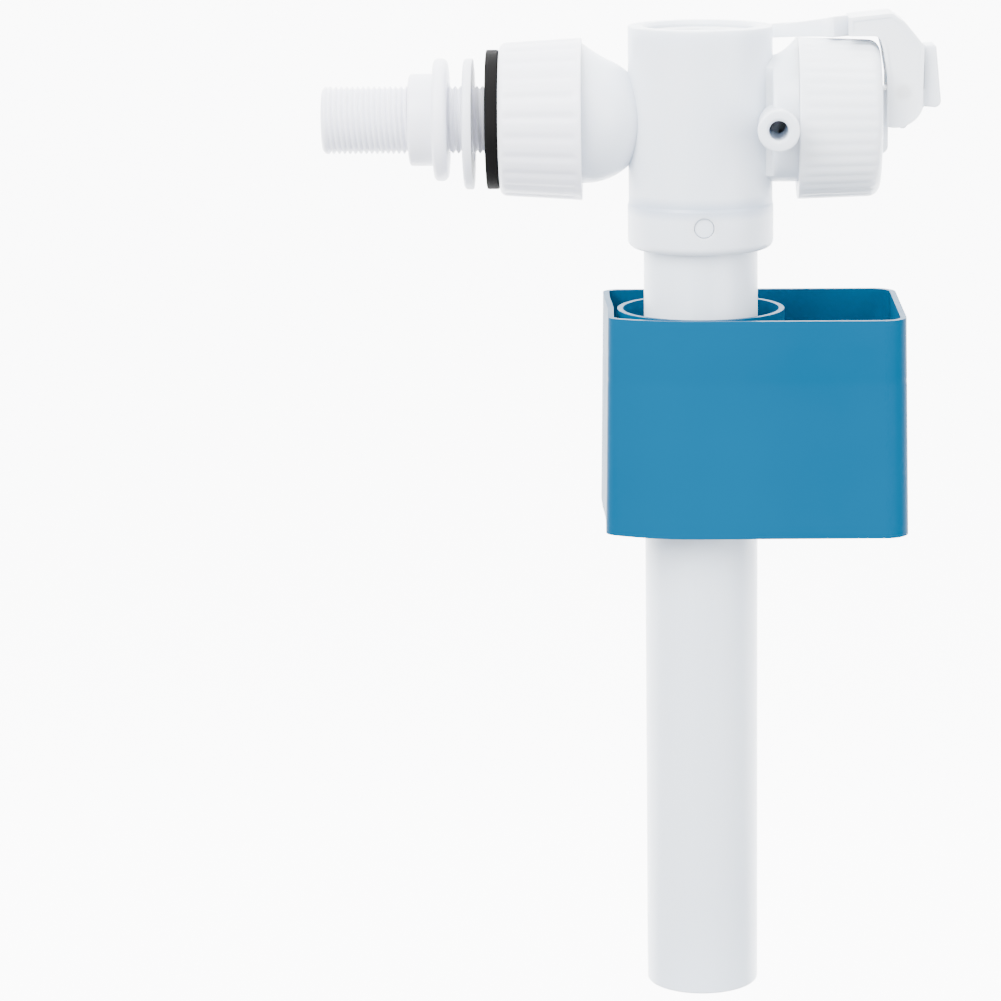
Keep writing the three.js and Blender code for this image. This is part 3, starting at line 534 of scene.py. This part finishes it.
def inlet_neck():
    inside_the_wall = 32  # the dome's last angle, past the body's outside
    dome = arc(DOME_X, 0, DOME_RADIUS, 90, inside_the_wall, 22)
    stop = dome[-1][0]
    outline = [(DOME_START, FEED_BORE), (DOME_START, 15.6), (DOME_START + 0.4, 16)]
    outline += [(x, 16.0) for x in rows(DOME_START + 1, union_high.x - 2, 1.2)]
    outline += [(x, DOME_RADIUS) for x in rows(union_high.x - 1.5, DOME_X - 0.2, 0.6)]
    outline += dome + [(stop, FEED_BORE)]
    bm = turned("x", outline, 128)
    return flare_top(bm, union_high.x + 0.2, 30, 2.9)


def outlet_neck():
    thread = 78.0
    outline = [(NECK_X, NECK_BORE), (NECK_X, NECK_RADIUS - 0.7), (NECK_X + 0.25, NECK_RADIUS - 0.2)]
    outline += [(x, NECK_RADIUS) for x in rows(NECK_X + 0.7, thread - 0.1, 0.7)]
    outline += [(x, 16.1) for x in rows(thread, NECK_END - 0.4, 1.0)]
    outline += [(NECK_END, 15.7), (NECK_END, NECK_BORE)]
    bm = turned("x", outline, 128)
    return flare_top(bm, 76.3, 70.4, 4.2)


def passage(radius, end, half):
    """A round along the inlet axis with flat sides, from the valve's axis to a place beside it."""
    rod = round_bar("x", radius, VALVE_X, end, 96)
    return boolean(rod, [block((VALVE_X - 1, -half, -radius - 1), (end + 1, half, radius + 1))], "INTERSECT")


def hose_spigot():
    tip = -body_low.y
    barrel, lip = 4.35, 5.1
    spigot = turned("y", rounded([
        (-tip, 3.0), (-tip, lip, 0.6), (-tip + 2.2, lip, 0.6), (-tip + 3.6, barrel, 1.2),
        (-6, barrel), (-6, HOSE_BORE), (-tip + 0.7, HOSE_BORE)], 6), 72)
    return moved(spigot, x=NOZZLE_X)


def lug_round(radius, low, high):
    """A short round that points out of the front of the body."""
    bm = moved(round_bar("y", radius, -high, -low, 48), z=LUG_Z)
    bmesh.ops.rotate(bm, verts=bm.verts[:], cent=(0, 0, 0),
                     matrix=Matrix.Rotation(math.radians(LUG_TURN), 3, "Z"))
    return moved(bm, x=VALVE_X)


def valve_body():
    feed = turned("x", rounded([
        (VALVE_X - BORE - 1, FEED_BORE), (VALVE_X - BORE - 1, FEED_RADIUS), (SEAT_X - 2, FEED_RADIUS),
        (SEAT_X, FEED_RADIUS - 1, 0.3), (SEAT_X, FEED_BORE, 0.3)], 4), 64)
    bore = moved(round_bar("z", BORE - 0.001, SOCKET_TOP + 1.7, body_high.z + 1, 160), x=VALVE_X)
    neck_closed = round_bar("x", NECK_BORE + 0.5, NECK_X, NECK_X + 1.5, 96)
    outer = joined(body_shell(), inlet_neck(), outlet_neck(), neck_closed,
                   passage(NECK_RADIUS, NECK_X + 1, 8.2), hose_spigot())
    hollow = cut(outer,
                 bore,
                 round_bar("x", NECK_BORE, NECK_X + 1.5, NECK_END + 1, 96),
                 passage(NECK_BORE, NECK_X + 2.5, 6.7),
                 round_bar("x", FEED_BORE, DOME_START - 1, VALVE_X, 64),
                 moved(round_bar("y", HOSE_BORE, body_low.y - 1, -9, 48), x=NOZZLE_X),
                 lug_round(2.5, 13, 21))
    whole = joined(hollow, feed)
    finish_piece("valve_body_moulding", whole, "housing", ["valve_body"], BODY_SHELL_PAINTED_SHADE, 32)


def outlet_tube():
    inner = TUBE_RADIUS - TUBE_WALL
    pipe = moved(turned("z", rounded([
        (tube_high.z, inner, 0.3), (tube_high.z, TUBE_RADIUS, 0.5), (tube_low.z, TUBE_RADIUS, 0.6),
        (tube_low.z, inner, 0.4)], 5), 144), x=VALVE_X)
    lug = soften(lug_round(2.4, inner + 0.4, -tube_low.y), 0.3, 60)
    finish_piece("discharge_pipe", joined(pipe, lug), "housing", ["discharge_tube"],
                 TUBE_WHITE, 40)


def tube_o_ring():
    low, high = box_mm("tube_seal")
    section = (high.z - low.z) / 2
    middle = (high.x - low.x) / 2 - section
    centre_z = (low.z + high.z) / 2
    ring = turned("z", arc(centre_z, middle, section * 0.98, 0, 330, 11), 96)
    finish_piece("tube_o_ring", moved(ring, x=VALVE_X), "housing", ["tube_seal"], RUBBER)


def top_ring():
    high, low = insert_high.z, insert_low.z
    outer = (insert_high.x - insert_low.x) / 2
    wall, ring, hole, drop = 1.2, 8.6, 4.6, 3.0
    bm = turned("z", rounded([
        (low, outer - wall, 0.3), (low, outer, 0.3), (high, outer, 0.4), (high, ring, 0.3),
        (high - drop, ring - 1.2, 0.4), (high - drop, hole, 0.3), (high - drop - wall, hole, 0.3),
        (high - drop - wall, ring, 0.5), (high - wall, ring + wall, 0.3), (high - wall, outer - wall, 0.3),
    ], 4), 128)
    finish_piece("top_vent_ring", moved(bm, x=VALVE_X), "housing", ["top_insert"], BODY_WHITE)


# ---------------------------------------------------------------- valve head

def fine_bonnet_nut():
    low, high = head_nut_low.x, head_nut_high.x
    large, small, inner, hole = head_nut_high.z, 19.2, 16.4, 12.9
    outline = refine(rounded([
        (low, inner, 0.4), (low, large, 0.35), (high, small, 3.0), (high, hole, 0.4),
        (high - 3, hole, 0.2), (high - 3, inner, 0.4)], 8), 0.8)
    bm = turned("x", outline, 40 * 8)
    flute(bm, "x", 40, 0.17, low + 0.7, high - 0.6, 1.6, small - 1.6, 1.5)
    finish_piece("bonnet_nut_fine", bm, "head_nut", ["bonnet_nut"], BODY_WHITE, 50)


def seal_disc():
    low, high = box_mm("diaphragm")
    bm = turned("x", rounded([
        (low.x, 3.3, 0.2), (low.x, high.z, 0.5), (high.x, high.z, 0.5), (high.x, 11.8, 0.4),
        (high.x - 0.5, 11, 0.4), (high.x - 0.5, 8.8, 0.4), (high.x - 0.1, 8, 0.3), (high.x - 0.1, 3.3, 0.2),
    ], 4), 96)
    finish_piece("rubber_diaphragm", bm, "housing", ["diaphragm"], RUBBER)


def lifting_plate():
    low, high = box_mm("diaphragm_plate")
    bm = turned("x", rounded([
        (low.x, 0), (low.x, 2.9, 0.5), (high.x - 1.6, 2.9, 0.1), (high.x - 1.6, high.y, 0.4),
        (high.x, high.y, 0.4), (high.x, 0)], 4), 96, through=False)
    bm = cut(bm, moved(round_bar("x", 0.75, low.x - 1, high.x + 1, 32), z=-1.7))
    finish_piece("diaphragm_lift_plate", bm, "plate", ["diaphragm_plate"], FILTER_WHITE)


def bleed_wire():
    low, high = box_mm("bleed_pin")
    bm = soften(round_bar("x", (high.y - low.y) / 2, low.x, high.x, 32), 0.1, 60)
    finish_piece("bleed_wire", moved(bm, z=(low.z + high.z) / 2), "housing", ["bleed_pin"],
                 drawn_wire())


PIVOT_X = 102.5
PIVOT_Z = 7.0
PIVOT_HOLE = 1.7
EAR_RADIUS = 3
BOSS_HALF = 4.8
BOSS_BOTTOM, BOSS_TOP = -8.3, 5.6
PILOT_HOLE = 0.6


def bonnet_cover():
    face = bonnet_low.x + 4.5
    boss = face + 3.2
    disc = turned("x", rounded([
        (bonnet_low.x, 9.6, 0.3), (bonnet_low.x, 16.1, 0.4), (bonnet_low.x + 2.5, 16.1, 0.4),
        (bonnet_low.x + 2.5, 12.6, 0.2), (face, 12.6, 0.6), (face, PILOT_HOLE),
        (bonnet_low.x + 3.4, PILOT_HOLE),
        (bonnet_low.x + 3.4, 9.6, 0.4)], 5), 128)
    nose = raised(rounded([
        (face - 1, BOSS_BOTTOM), (boss, BOSS_BOTTOM, 1.8), (boss, BOSS_TOP, 1.2), (face - 1, BOSS_TOP)], 6),
        "y", -BOSS_HALF, BOSS_HALF)
    tip = arc(PIVOT_X, PIVOT_Z, EAR_RADIUS, -90, 90, 16)
    ear = raised([(face - 1, PIVOT_Z - EAR_RADIUS)] + tip + [(face - 1, PIVOT_Z - 1.5)],
                 "y", -BOSS_HALF, BOSS_HALF)
    pilot = turned("x", rounded([(boss - 0.5, 0), (boss - 0.5, 2.2), (boss + 1, 1.6, 0.3), (boss + 1, 0)], 3),
                   48, through=False)
    pin_hole = moved(round_bar("y", PIVOT_HOLE, -6, 6, 48), x=PIVOT_X, z=PIVOT_Z)
    bm = joined(disc, soften(joined(nose, ear), 0.45, 40), pilot)
    bm = cut(bm, round_bar("x", PILOT_HOLE, bonnet_low.x, boss + 2, 24), pin_hole)
    finish_piece("bonnet_cover", bm, "housing", ["bonnet"], BODY_WHITE, 35)


def lever_pivot():
    low, high = box_mm("pivot_pin")
    bm = soften(round_bar("y", 1.5, low.y, high.y, 48), 0.25, 60)
    finish_piece("lever_pivot_pin", moved(bm, x=PIVOT_X, z=PIVOT_Z), "housing", ["pivot_pin"],
                 BODY_WHITE)


# ---------------------------------------------------------------- lever

HEAD_LEFT = 89.0
INNER_X = 98.4
UNDERSIDE = 20.7
PEAK_X = 98.8
PEAK_Z = lever_high.z
HEEL_X = 107.4
HEEL_Z = 18.3
LOBE_X, LOBE_Z, LOBE_RADIUS = 100.3, 5.6, 7.3
CHEEK_IN = 5.4
CHEEK_OUT = 7.6
RIM = 0.9  # the raised edge round each cheek
RIM_STEP = 0.35
PIN_Z = (link_low.z + link_high.z) / 2  # the link's pins in the fork


def line_height(stops, x):
    """The height at x on a line through stops of (x, height)."""
    for (x0, z0), (x1, z1) in zip(stops, stops[1:]):
        if x <= x1 or (x1, z1) == stops[-1]:
            return z0 + (z1 - z0) * (x - x0) / (x1 - x0)
    return stops[-1][1]


def arm_top(x):
    return line_height([(48.0, 18.2), (69.5, 21.0), (72.5, 22.2), (75.0, 22.3), (78.0, 22.75),
                        (91.0, PEAK_Z - 0.75)], x)


def arm_under(x):
    return line_height([(48.0, 14.4), (70.0, 18.3), (91.0, UNDERSIDE - 0.4)], x)


def head_outline():
    start = math.degrees(math.asin((INNER_X - LOBE_X) / LOBE_RADIUS)) - 90
    lobe = arc(LOBE_X, LOBE_Z, LOBE_RADIUS, start, -22, 26)
    corners = [(HEAD_LEFT, UNDERSIDE), (INNER_X - 1.9, UNDERSIDE, 1.8), (INNER_X - 0.9, UNDERSIDE - 4, 3),
               (INNER_X, UNDERSIDE - 9.8, 4)]
    crown = [(HEEL_X, HEEL_Z, 1.0), (PEAK_X + 4.0, 23.9, 3.0), (PEAK_X + 0.6, PEAK_Z, 2.0),
             (HEAD_LEFT, PEAK_Z - 1.1)]
    return rounded(corners + lobe + crown, 6)


def lever_head():
    whole = raised(head_outline(), "y", -CHEEK_OUT, CHEEK_OUT)
    sides = [face for face in whole.faces if abs(face.normal.y) > 0.9]
    bmesh.ops.inset_region(whole, faces=sides, thickness=RIM, depth=0, use_even_offset=True)
    inner_sides = [face for face in whole.faces if abs(face.normal.y) > 0.9 and len(face.verts) > 8]
    for face in inner_sides:
        push = Vector((0, -math.copysign(RIM_STEP, face.calc_center_median().y), 0))
        rim = bmesh.ops.extrude_face_region(whole, geom=[face])["geom"]
        bmesh.ops.translate(whole, verts=[v for v in rim if isinstance(v, bmesh.types.BMVert)], vec=push)
        bmesh.ops.delete(whole, geom=[face], context="FACES_ONLY")
    bmesh.ops.recalc_face_normals(whole, faces=whole.faces[:])
    hollow = raised(rounded([
        (HEAD_LEFT + 1.6, UNDERSIDE - 1), (INNER_X - 4, LOBE_Z - LOBE_RADIUS - 2),
        (HEEL_X + 4, LOBE_Z - LOBE_RADIUS - 2), (HEEL_X + 4, HEEL_Z - 6), (HEEL_X - 1.6, HEEL_Z - 4),
        (HEEL_X - 1.6, HEEL_Z - 0.9, 0.6), (PEAK_X + 2.6, 22.6, 1.5), (PEAK_X, PEAK_Z - 2.0, 1.0),
        (HEAD_LEFT + 1.6, PEAK_Z - 2.7, 0.8)], 4), "y", -CHEEK_IN, CHEEK_IN)
    sockets = moved(round_bar("y", PIVOT_HOLE, -7, 7, 48), x=PIVOT_X, z=PIVOT_Z)
    return cut(whole, hollow, sockets)


def lever_arm():
    """A bar that leaves the head, passes behind the body and reaches the fork."""
    slim, spread_from = 2.25, HEAD_LEFT - 7
    route = [Vector(point) for point in (
        (HEAD_LEFT + 1.2, 0.6), (VALVE_X + 21.25, 15.45), (VALVE_X + 6.5, 24.1), (ROD_X + 5.6, ROD_Y))]
    bm = bmesh.new()
    stations = []
    for i in range(len(route) - 1):
        stations += [route[i].lerp(route[i + 1], k / 8) for k in range(8)]
    stations.append(route[-1])
    stations = ease(stations, 4)
    loops = []
    for i, place in enumerate(stations):
        ahead = stations[min(i + 1, len(stations) - 1)] - stations[max(i - 1, 0)]
        spread = max(0, (place.x - spread_from) / (HEAD_LEFT - spread_from)) ** 2
        half = slim + (CHEEK_OUT - slim - 0.1) * min(1, spread)
        side = Vector((-ahead.y, ahead.x)).normalized() * half
        low, high = arm_under(place.x), arm_top(place.x)
        corners = [(place + side, low), (place - side, low), (place - side, high), (place + side, high)]
        loops.append([bm.verts.new((point.x, point.y, z)) for point, z in corners])
    for first, second in zip(loops, loops[1:]):
        for k in range(4):
            bm.faces.new([first[k], first[(k + 1) % 4], second[(k + 1) % 4], second[k]])
    bm.faces.new(loops[0])
    bm.faces.new(loops[-1])
    bmesh.ops.recalc_face_normals(bm, faces=bm.faces[:])
    return soften(bm, 0.5, 60)


def ease(points, times):
    """Rounds the bends of a route and keeps its ends."""
    for _ in range(times):
        middle = [(before + 2 * here + after) / 4
                  for before, here, after in zip(points, points[1:], points[2:])]
        points = [points[0]] + middle + [points[-1]]
    return points


def lever_fork():
    low, high = PIN_Z - 2.6, PIN_Z + 2.6
    inside, outside = 4.3, 6.3
    right = ROD_X + 4.4
    left = ROD_X - 5.8
    whole = block((left, ROD_Y - outside, low), (right + 3, ROD_Y + outside, high))
    throat = block((left - 1, ROD_Y - inside, low - 1), (right, ROD_Y + inside, high + 1))
    slot = block((ROD_X - 3.6, ROD_Y - outside - 1, PIN_Z - 1.7),
                 (ROD_X + 1.8, ROD_Y + outside + 1, PIN_Z + 1.7))
    return soften(cut(whole, throat, slot), 0.45, 50)


def lever():
    bm = joined(lever_head(), lever_arm(), lever_fork())
    finish_piece("pilot_lever", bm, "lever", ["float_lever"], BODY_WHITE, 30)


def tab_insert():
    face = tab_low.x
    left, right, low, high = HEEL_X + 0.2, tab_high.x, 2.8, tab_high.z
    half = CHEEK_IN - 0.2
    cup = raised(rounded([
        (face, -2.1, 0.3), (face + 1.2, -2.1, 0.5), (left - 2, low - 1.6), (left, low + 0.4), (left, low + 5),
        (face + 1.8, 2.1, 0.5), (face, 2.1, 0.3)], 4), "y", -half, half)
    flap = raised(rounded([
        (left - 0.3, low + 0.4), (right - 0.4, low, 1.6), (right - 1.9, high, 0.8), (left - 0.1, high, 0.8),
    ], 6), "y", -(tab_high.y - 0.6), tab_high.y - 0.6)
    pocket = round_bar("x", 1.85, face - 1, face + 0.9, 48)
    bm = cut(joined(soften(cup, 0.3, 50), soften(flap, 0.5, 50)), pocket)
    finish_piece("tab_insert", bm, "lever", ["seal_holder"], BODY_WHITE, 35)


def pilot_pad():
    low, high = box_mm("pilot_seal")
    bm = soften(round_bar("x", high.z, low.x, high.x, 48), 0.25, 60)
    finish_piece("pilot_pad", bm, "lever", ["pilot_seal"], RUBBER)


# ---------------------------------------------------------------- rod and float

def trunnion_block():
    half = 3.6
    bm = block((link_low.x, ROD_Y - half, link_low.z), (link_high.x, ROD_Y + half, link_high.z))
    bm = soften(bm, 0.5, 60)
    pins = soften(round_bar("y", 1.4, -6.6, 6.6, 40), 0.3, 60)
    bm = joined(bm, moved(pins, x=ROD_X, y=ROD_Y, z=PIN_Z))
    hole = moved(round_bar("z", 2.4, link_low.z - 1, link_high.z + 1, 48), x=ROD_X, y=ROD_Y)
    finish_piece("trunnion_block", cut(bm, hole), "link", ["link_block"], BLACK)


def threaded_rod():
    low, high = rod_low.z, rod_high.z
    radius, pitch, knob, knob_low = 2.1, 3.0, rod_high.x - ROD_X, high - 3.3
    clip = link_low.z - 0.3
    thread_top = clip - 2.2
    outline = [(low, 0), (low + 0.1, 0.5), (low + 0.5, 0.75), (low + 4, radius - 0.02)]
    outline += [(z, radius) for z in rows(low + 4.4, thread_top, pitch / 10)]
    outline += [(clip - 1.6, radius), (clip - 1.6, radius - 0.5), (clip, radius - 0.5), (clip, radius)]
    outline += rounded([(knob_low, radius), (knob_low, knob, 0.4), (high, knob, 0.7), (high, 0)], 4)
    bm = turned("z", outline, 48, through=False)
    cut_thread(bm, "z", radius, 0.42, pitch, low + 4.2, thread_top)
    flute(bm, "z", 8, 0.55, knob_low + 0.1, high + 0.5, 0.5, knob - 0.8, 1.4)
    finish_piece("adjusting_screw", moved(bm, x=ROD_X, y=ROD_Y), "rod", ["adjusting_rod"],
                 BLACK, 50)


def open_clip():
    low, high = box_mm("rod_clip")
    inner, outer = 1.75, high.y - ROD_Y
    ring = turned("z", rounded([
        (low.z, inner, 0.1), (low.z, outer, 0.25), (high.z, outer, 0.25), (high.z, inner, 0.1)], 3), 64)
    mouth = block((-9, -inner, low.z - 1), (0, inner, high.z + 1))
    finish_piece("open_clip", moved(cut(ring, mouth), x=ROD_X, y=ROD_Y), "rod", ["rod_clip"],
                 BLACK)


FLOAT_WALL = 1.5
FLOAT_LEFT, FLOAT_RIGHT = 29.6, 103.0
FLOAT_FLARE = 1.6
FLOAT_FRONT, FLOAT_BACK = -22.3, 30.6
FLOAT_DRAFT = 0.85
PARTITION = -62.0
COLLAR_IN = 19.5
COLLAR_OUT = COLLAR_IN + 1.35
BULGE = 46.0
LEFT_CORNER = 4.0
CORNER = 6.0


def float_outline(inset):
    """The float's rim: straight front, a bend around the tube, a flared back left corner."""
    run = BULGE - LEFT_CORNER
    bend = math.degrees(math.acos((FLOAT_LEFT + LEFT_CORNER - VALVE_X) / run))
    corner_x = VALVE_X + run * math.cos(math.radians(bend))
    corner_y = FLOAT_FRONT + BULGE - run * math.sin(math.radians(bend))
    middle = (corner_y + FLOAT_BACK) / 2
    flare_x = FLOAT_LEFT - FLOAT_FLARE
    return (
        arc(corner_x, corner_y, LEFT_CORNER - inset, -180, -bend, 8)
        + arc(VALVE_X, FLOAT_FRONT + BULGE, BULGE - inset, -bend + 2, -90, 12)
        + arc(FLOAT_RIGHT - CORNER, FLOAT_FRONT + CORNER, CORNER - inset, -90, 0, 12)
        + arc(FLOAT_RIGHT - CORNER, FLOAT_BACK - CORNER, CORNER - inset, 0, 90, 12)
        + arc(flare_x + LEFT_CORNER, FLOAT_BACK - LEFT_CORNER, LEFT_CORNER - inset, 90, 180, 10)
        + [(FLOAT_LEFT - share * FLOAT_FLARE + inset, middle + up)
           for share, up in ((0.75, 8), (0.4, 0), (0.12, -8))]
    )


def float_block(inset, levels):
    """The outline carried down through levels of (height, push), leaning out by the draft."""
    low_z, high_z = float_low.z, float_high.z
    centre = Vector(((FLOAT_LEFT + FLOAT_RIGHT) / 2, (FLOAT_FRONT + FLOAT_BACK) / 2))
    half = Vector(((FLOAT_RIGHT - FLOAT_LEFT) / 2, (FLOAT_BACK - FLOAT_FRONT) / 2))
    outline = float_outline(inset)
    bm = bmesh.new()
    first = levels[0][0]
    ring = bm.faces.new([bm.verts.new((x, y, first)) for x, y in outline])
    for height, _ in levels[1:]:
        grown = bmesh.ops.extrude_face_region(bm, geom=[ring])["geom"]
        ring = next(part for part in grown if isinstance(part, bmesh.types.BMFace))
        for vert in ring.verts:
            vert.co.z = height
    bm.verts.ensure_lookup_table()
    pushes = dict((round(height, 4), push) for height, push in levels)
    for vert in bm.verts:
        lean = FLOAT_DRAFT * (high_z - vert.co.z) / (high_z - low_z) - pushes[round(vert.co.z, 4)]
        vert.co.x = centre.x + (vert.co.x - centre.x) * (1 + lean / half.x)
        vert.co.y = centre.y + (vert.co.y - centre.y) * (1 + lean / half.y)
    inner_faces = [face for face in bm.faces if len(face.verts) > 4 and not any(
        edge.is_boundary for edge in face.edges) and abs(face.calc_center_median().z - levels[0][0]) > 0.001
        and abs(face.calc_center_median().z - levels[-1][0]) > 0.001]
    bmesh.ops.delete(bm, geom=inner_faces, context="FACES_ONLY")
    bmesh.ops.recalc_face_normals(bm, faces=bm.faces[:])
    return bm


def box_float():
    low, high = float_low.z, float_high.z
    sink = PARTITION - 0.7  # where the floor of the tray draws the wall in a little
    outer = float_block(0, [(low, 0), (sink - 1.6, 0), (sink - 1.0, 0), (sink, 0.05), (sink + 1.0, 0),
                            (sink + 1.6, 0), (high, 0)])

    def kept():
        collar = moved(round_bar("z", COLLAR_OUT, low - 3, high + 3, 144), x=VALVE_X)
        sleeve = moved(round_bar("z", 4.8, low + 1, PARTITION + 2.4, 48), x=ROD_X, y=ROD_Y)
        return collar, sleeve

    tray = cut(float_block(FLOAT_WALL, [(PARTITION, 0), (high + 1, 0)]), *kept())
    cup = cut(float_block(FLOAT_WALL, [(low - 1, 0), (PARTITION - 1.4, 0)]), *kept())
    collar_bore = moved(round_bar("z", COLLAR_IN, low - 2, high + 2, 144), x=VALVE_X)
    sleeve_bore = moved(round_bar("z", 3.7, low - 2, high, 48), x=ROD_X, y=ROD_Y)
    bm = cut(outer, tray, cup, collar_bore, sleeve_bore)
    bmesh.ops.dissolve_limit(bm, angle_limit=math.radians(0.5), verts=bm.verts[:], edges=bm.edges[:])
    piece = finish_piece("box_float", bm, "float", ["float_cup"], BLUE, 35)
    edge_round = piece.modifiers.new("moulded_edges", "BEVEL")
    edge_round.width = 0.4 * MM
    edge_round.segments = 3
    edge_round.limit_method = "ANGLE"
    edge_round.angle_limit = math.radians(55)


def float_bush():
    low, high = bush_low.z, bush_high.z
    outer, hole = bush_high.x - ROD_X, 2.4
    bm = turned("z", rounded([
        (low, hole, 0.2), (low, 3.4, 0.3), (high - 1.6, 3.4), (high - 1.6, outer, 0.3), (high, outer, 0.5),
        (high, hole, 0.3)], 4), 64)
    flute(bm, "z", 12, 0.3, high - 1.5, high + 0.4, 0.3, outer - 0.4, 1.2)
    finish_piece("float_bush", moved(bm, x=ROD_X, y=ROD_Y), "float", ["float_nut"], BLUE)


# ---------------------------------------------------------------- studio

def stage():
    """A pale sweep under and behind the object."""
    wide, back, floor, front = 3.0, 1.6, -0.5, 0.3
    bend = 0.6
    profile = [(front, floor)] + arc(back - bend, floor + bend, bend, -90, 0, 9) + [(back, 3.0)]
    bm = bmesh.new()
    edge = [bm.verts.new((-wide, y, z)) for y, z in profile]
    edges = [bm.edges.new(pair) for pair in zip(edge, edge[1:])]
    grown = bmesh.ops.extrude_edge_only(bm, edges=edges)["geom"]
    far_side = [part for part in grown if isinstance(part, bmesh.types.BMVert)]
    bmesh.ops.translate(bm, verts=far_side, vec=(2 * wide, 0, 0))
    bmesh.ops.recalc_face_normals(bm, faces=bm.faces[:])
    for face in bm.faces:
        face.smooth = True
    sweep = bpy.data.objects.new("studio_sweep", as_mesh(bm, "studio_sweep"))
    bpy.context.scene.collection.objects.link(sweep)
    paper = bpy.data.materials.new("white_paper")
    paper.use_nodes = True
    shader = paper.node_tree.nodes["Principled BSDF"]
    shader.inputs["Base Color"].default_value = (0.95, 0.95, 0.95, 1)
    shader.inputs["Roughness"].default_value = 0.9
    shader.inputs["Emission Color"].default_value = (1, 1, 1, 1)
    shader.inputs["Emission Strength"].default_value = 5.0
    sweep.data.materials.append(paper)


def soft_box(name, place, target, width, height, watts, colour=(1, 1, 1)):
    light = bpy.data.lights.new(name, "AREA")
    light.shape = "RECTANGLE"
    light.size = width
    light.size_y = height
    light.energy = watts
    light.color = colour
    lamp = bpy.data.objects.new(name, light)
    lamp.location = place
    lamp.rotation_euler = (Vector(target) - Vector(place)).to_track_quat("-Z", "Y").to_euler()
    bpy.context.scene.collection.objects.link(lamp)


def studio():
    stage()
    world = bpy.data.worlds.new("studio_air")
    world.use_nodes = True
    world.node_tree.nodes["Background"].inputs["Color"].default_value = (0.93, 0.95, 1.0, 1)
    world.node_tree.nodes["Background"].inputs["Strength"].default_value = 2.1
    bpy.context.scene.world = world
    middle = (0.05, 0, -0.08)
    soft_box("key_box", (-0.7, -1.1, 0.9), middle, 0.9, 1.2, 84)
    soft_box("fill_box", (1.2, -1.0, 0.3), middle, 0.8, 1.4, 26, (0.97, 0.98, 1.0))
    soft_box("top_box", (0.1, 0.1, 1.3), middle, 1.2, 1.0, 36)
    soft_box("back_box", (0.0, 1.2, 0.7), middle, 1.6, 0.8, 8)


def camera():
    lens = bpy.data.cameras.new("view")
    lens.lens = 132.7
    lens.sensor_width = 36
    lens.shift_x = -0.1817
    lens.clip_end = 20
    eye = bpy.data.objects.new("view", lens)
    turn = (Matrix.Rotation(math.radians(-0.58), 4, "Z") @ Matrix.Rotation(math.radians(90 - 12.13), 4, "X")
            @ Matrix.Rotation(math.radians(-0.21), 4, "Z"))
    eye.matrix_world = Matrix.Translation((0.0387, -0.9108, 0.0993)) @ turn
    bpy.context.scene.collection.objects.link(eye)
    bpy.context.scene.camera = eye


inlet_tail()
filter_basket()
flat_rings()
loose_washer()
wall_backnut()
fluted_union_nut()
valve_body()
outlet_tube()
tube_o_ring()
top_ring()
fine_bonnet_nut()
seal_disc()
lifting_plate()
bleed_wire()
bonnet_cover()
lever_pivot()
lever()
tab_insert()
pilot_pad()
trunnion_block()
threaded_rod()
open_clip()
box_float()
float_bush()
studio()
camera()
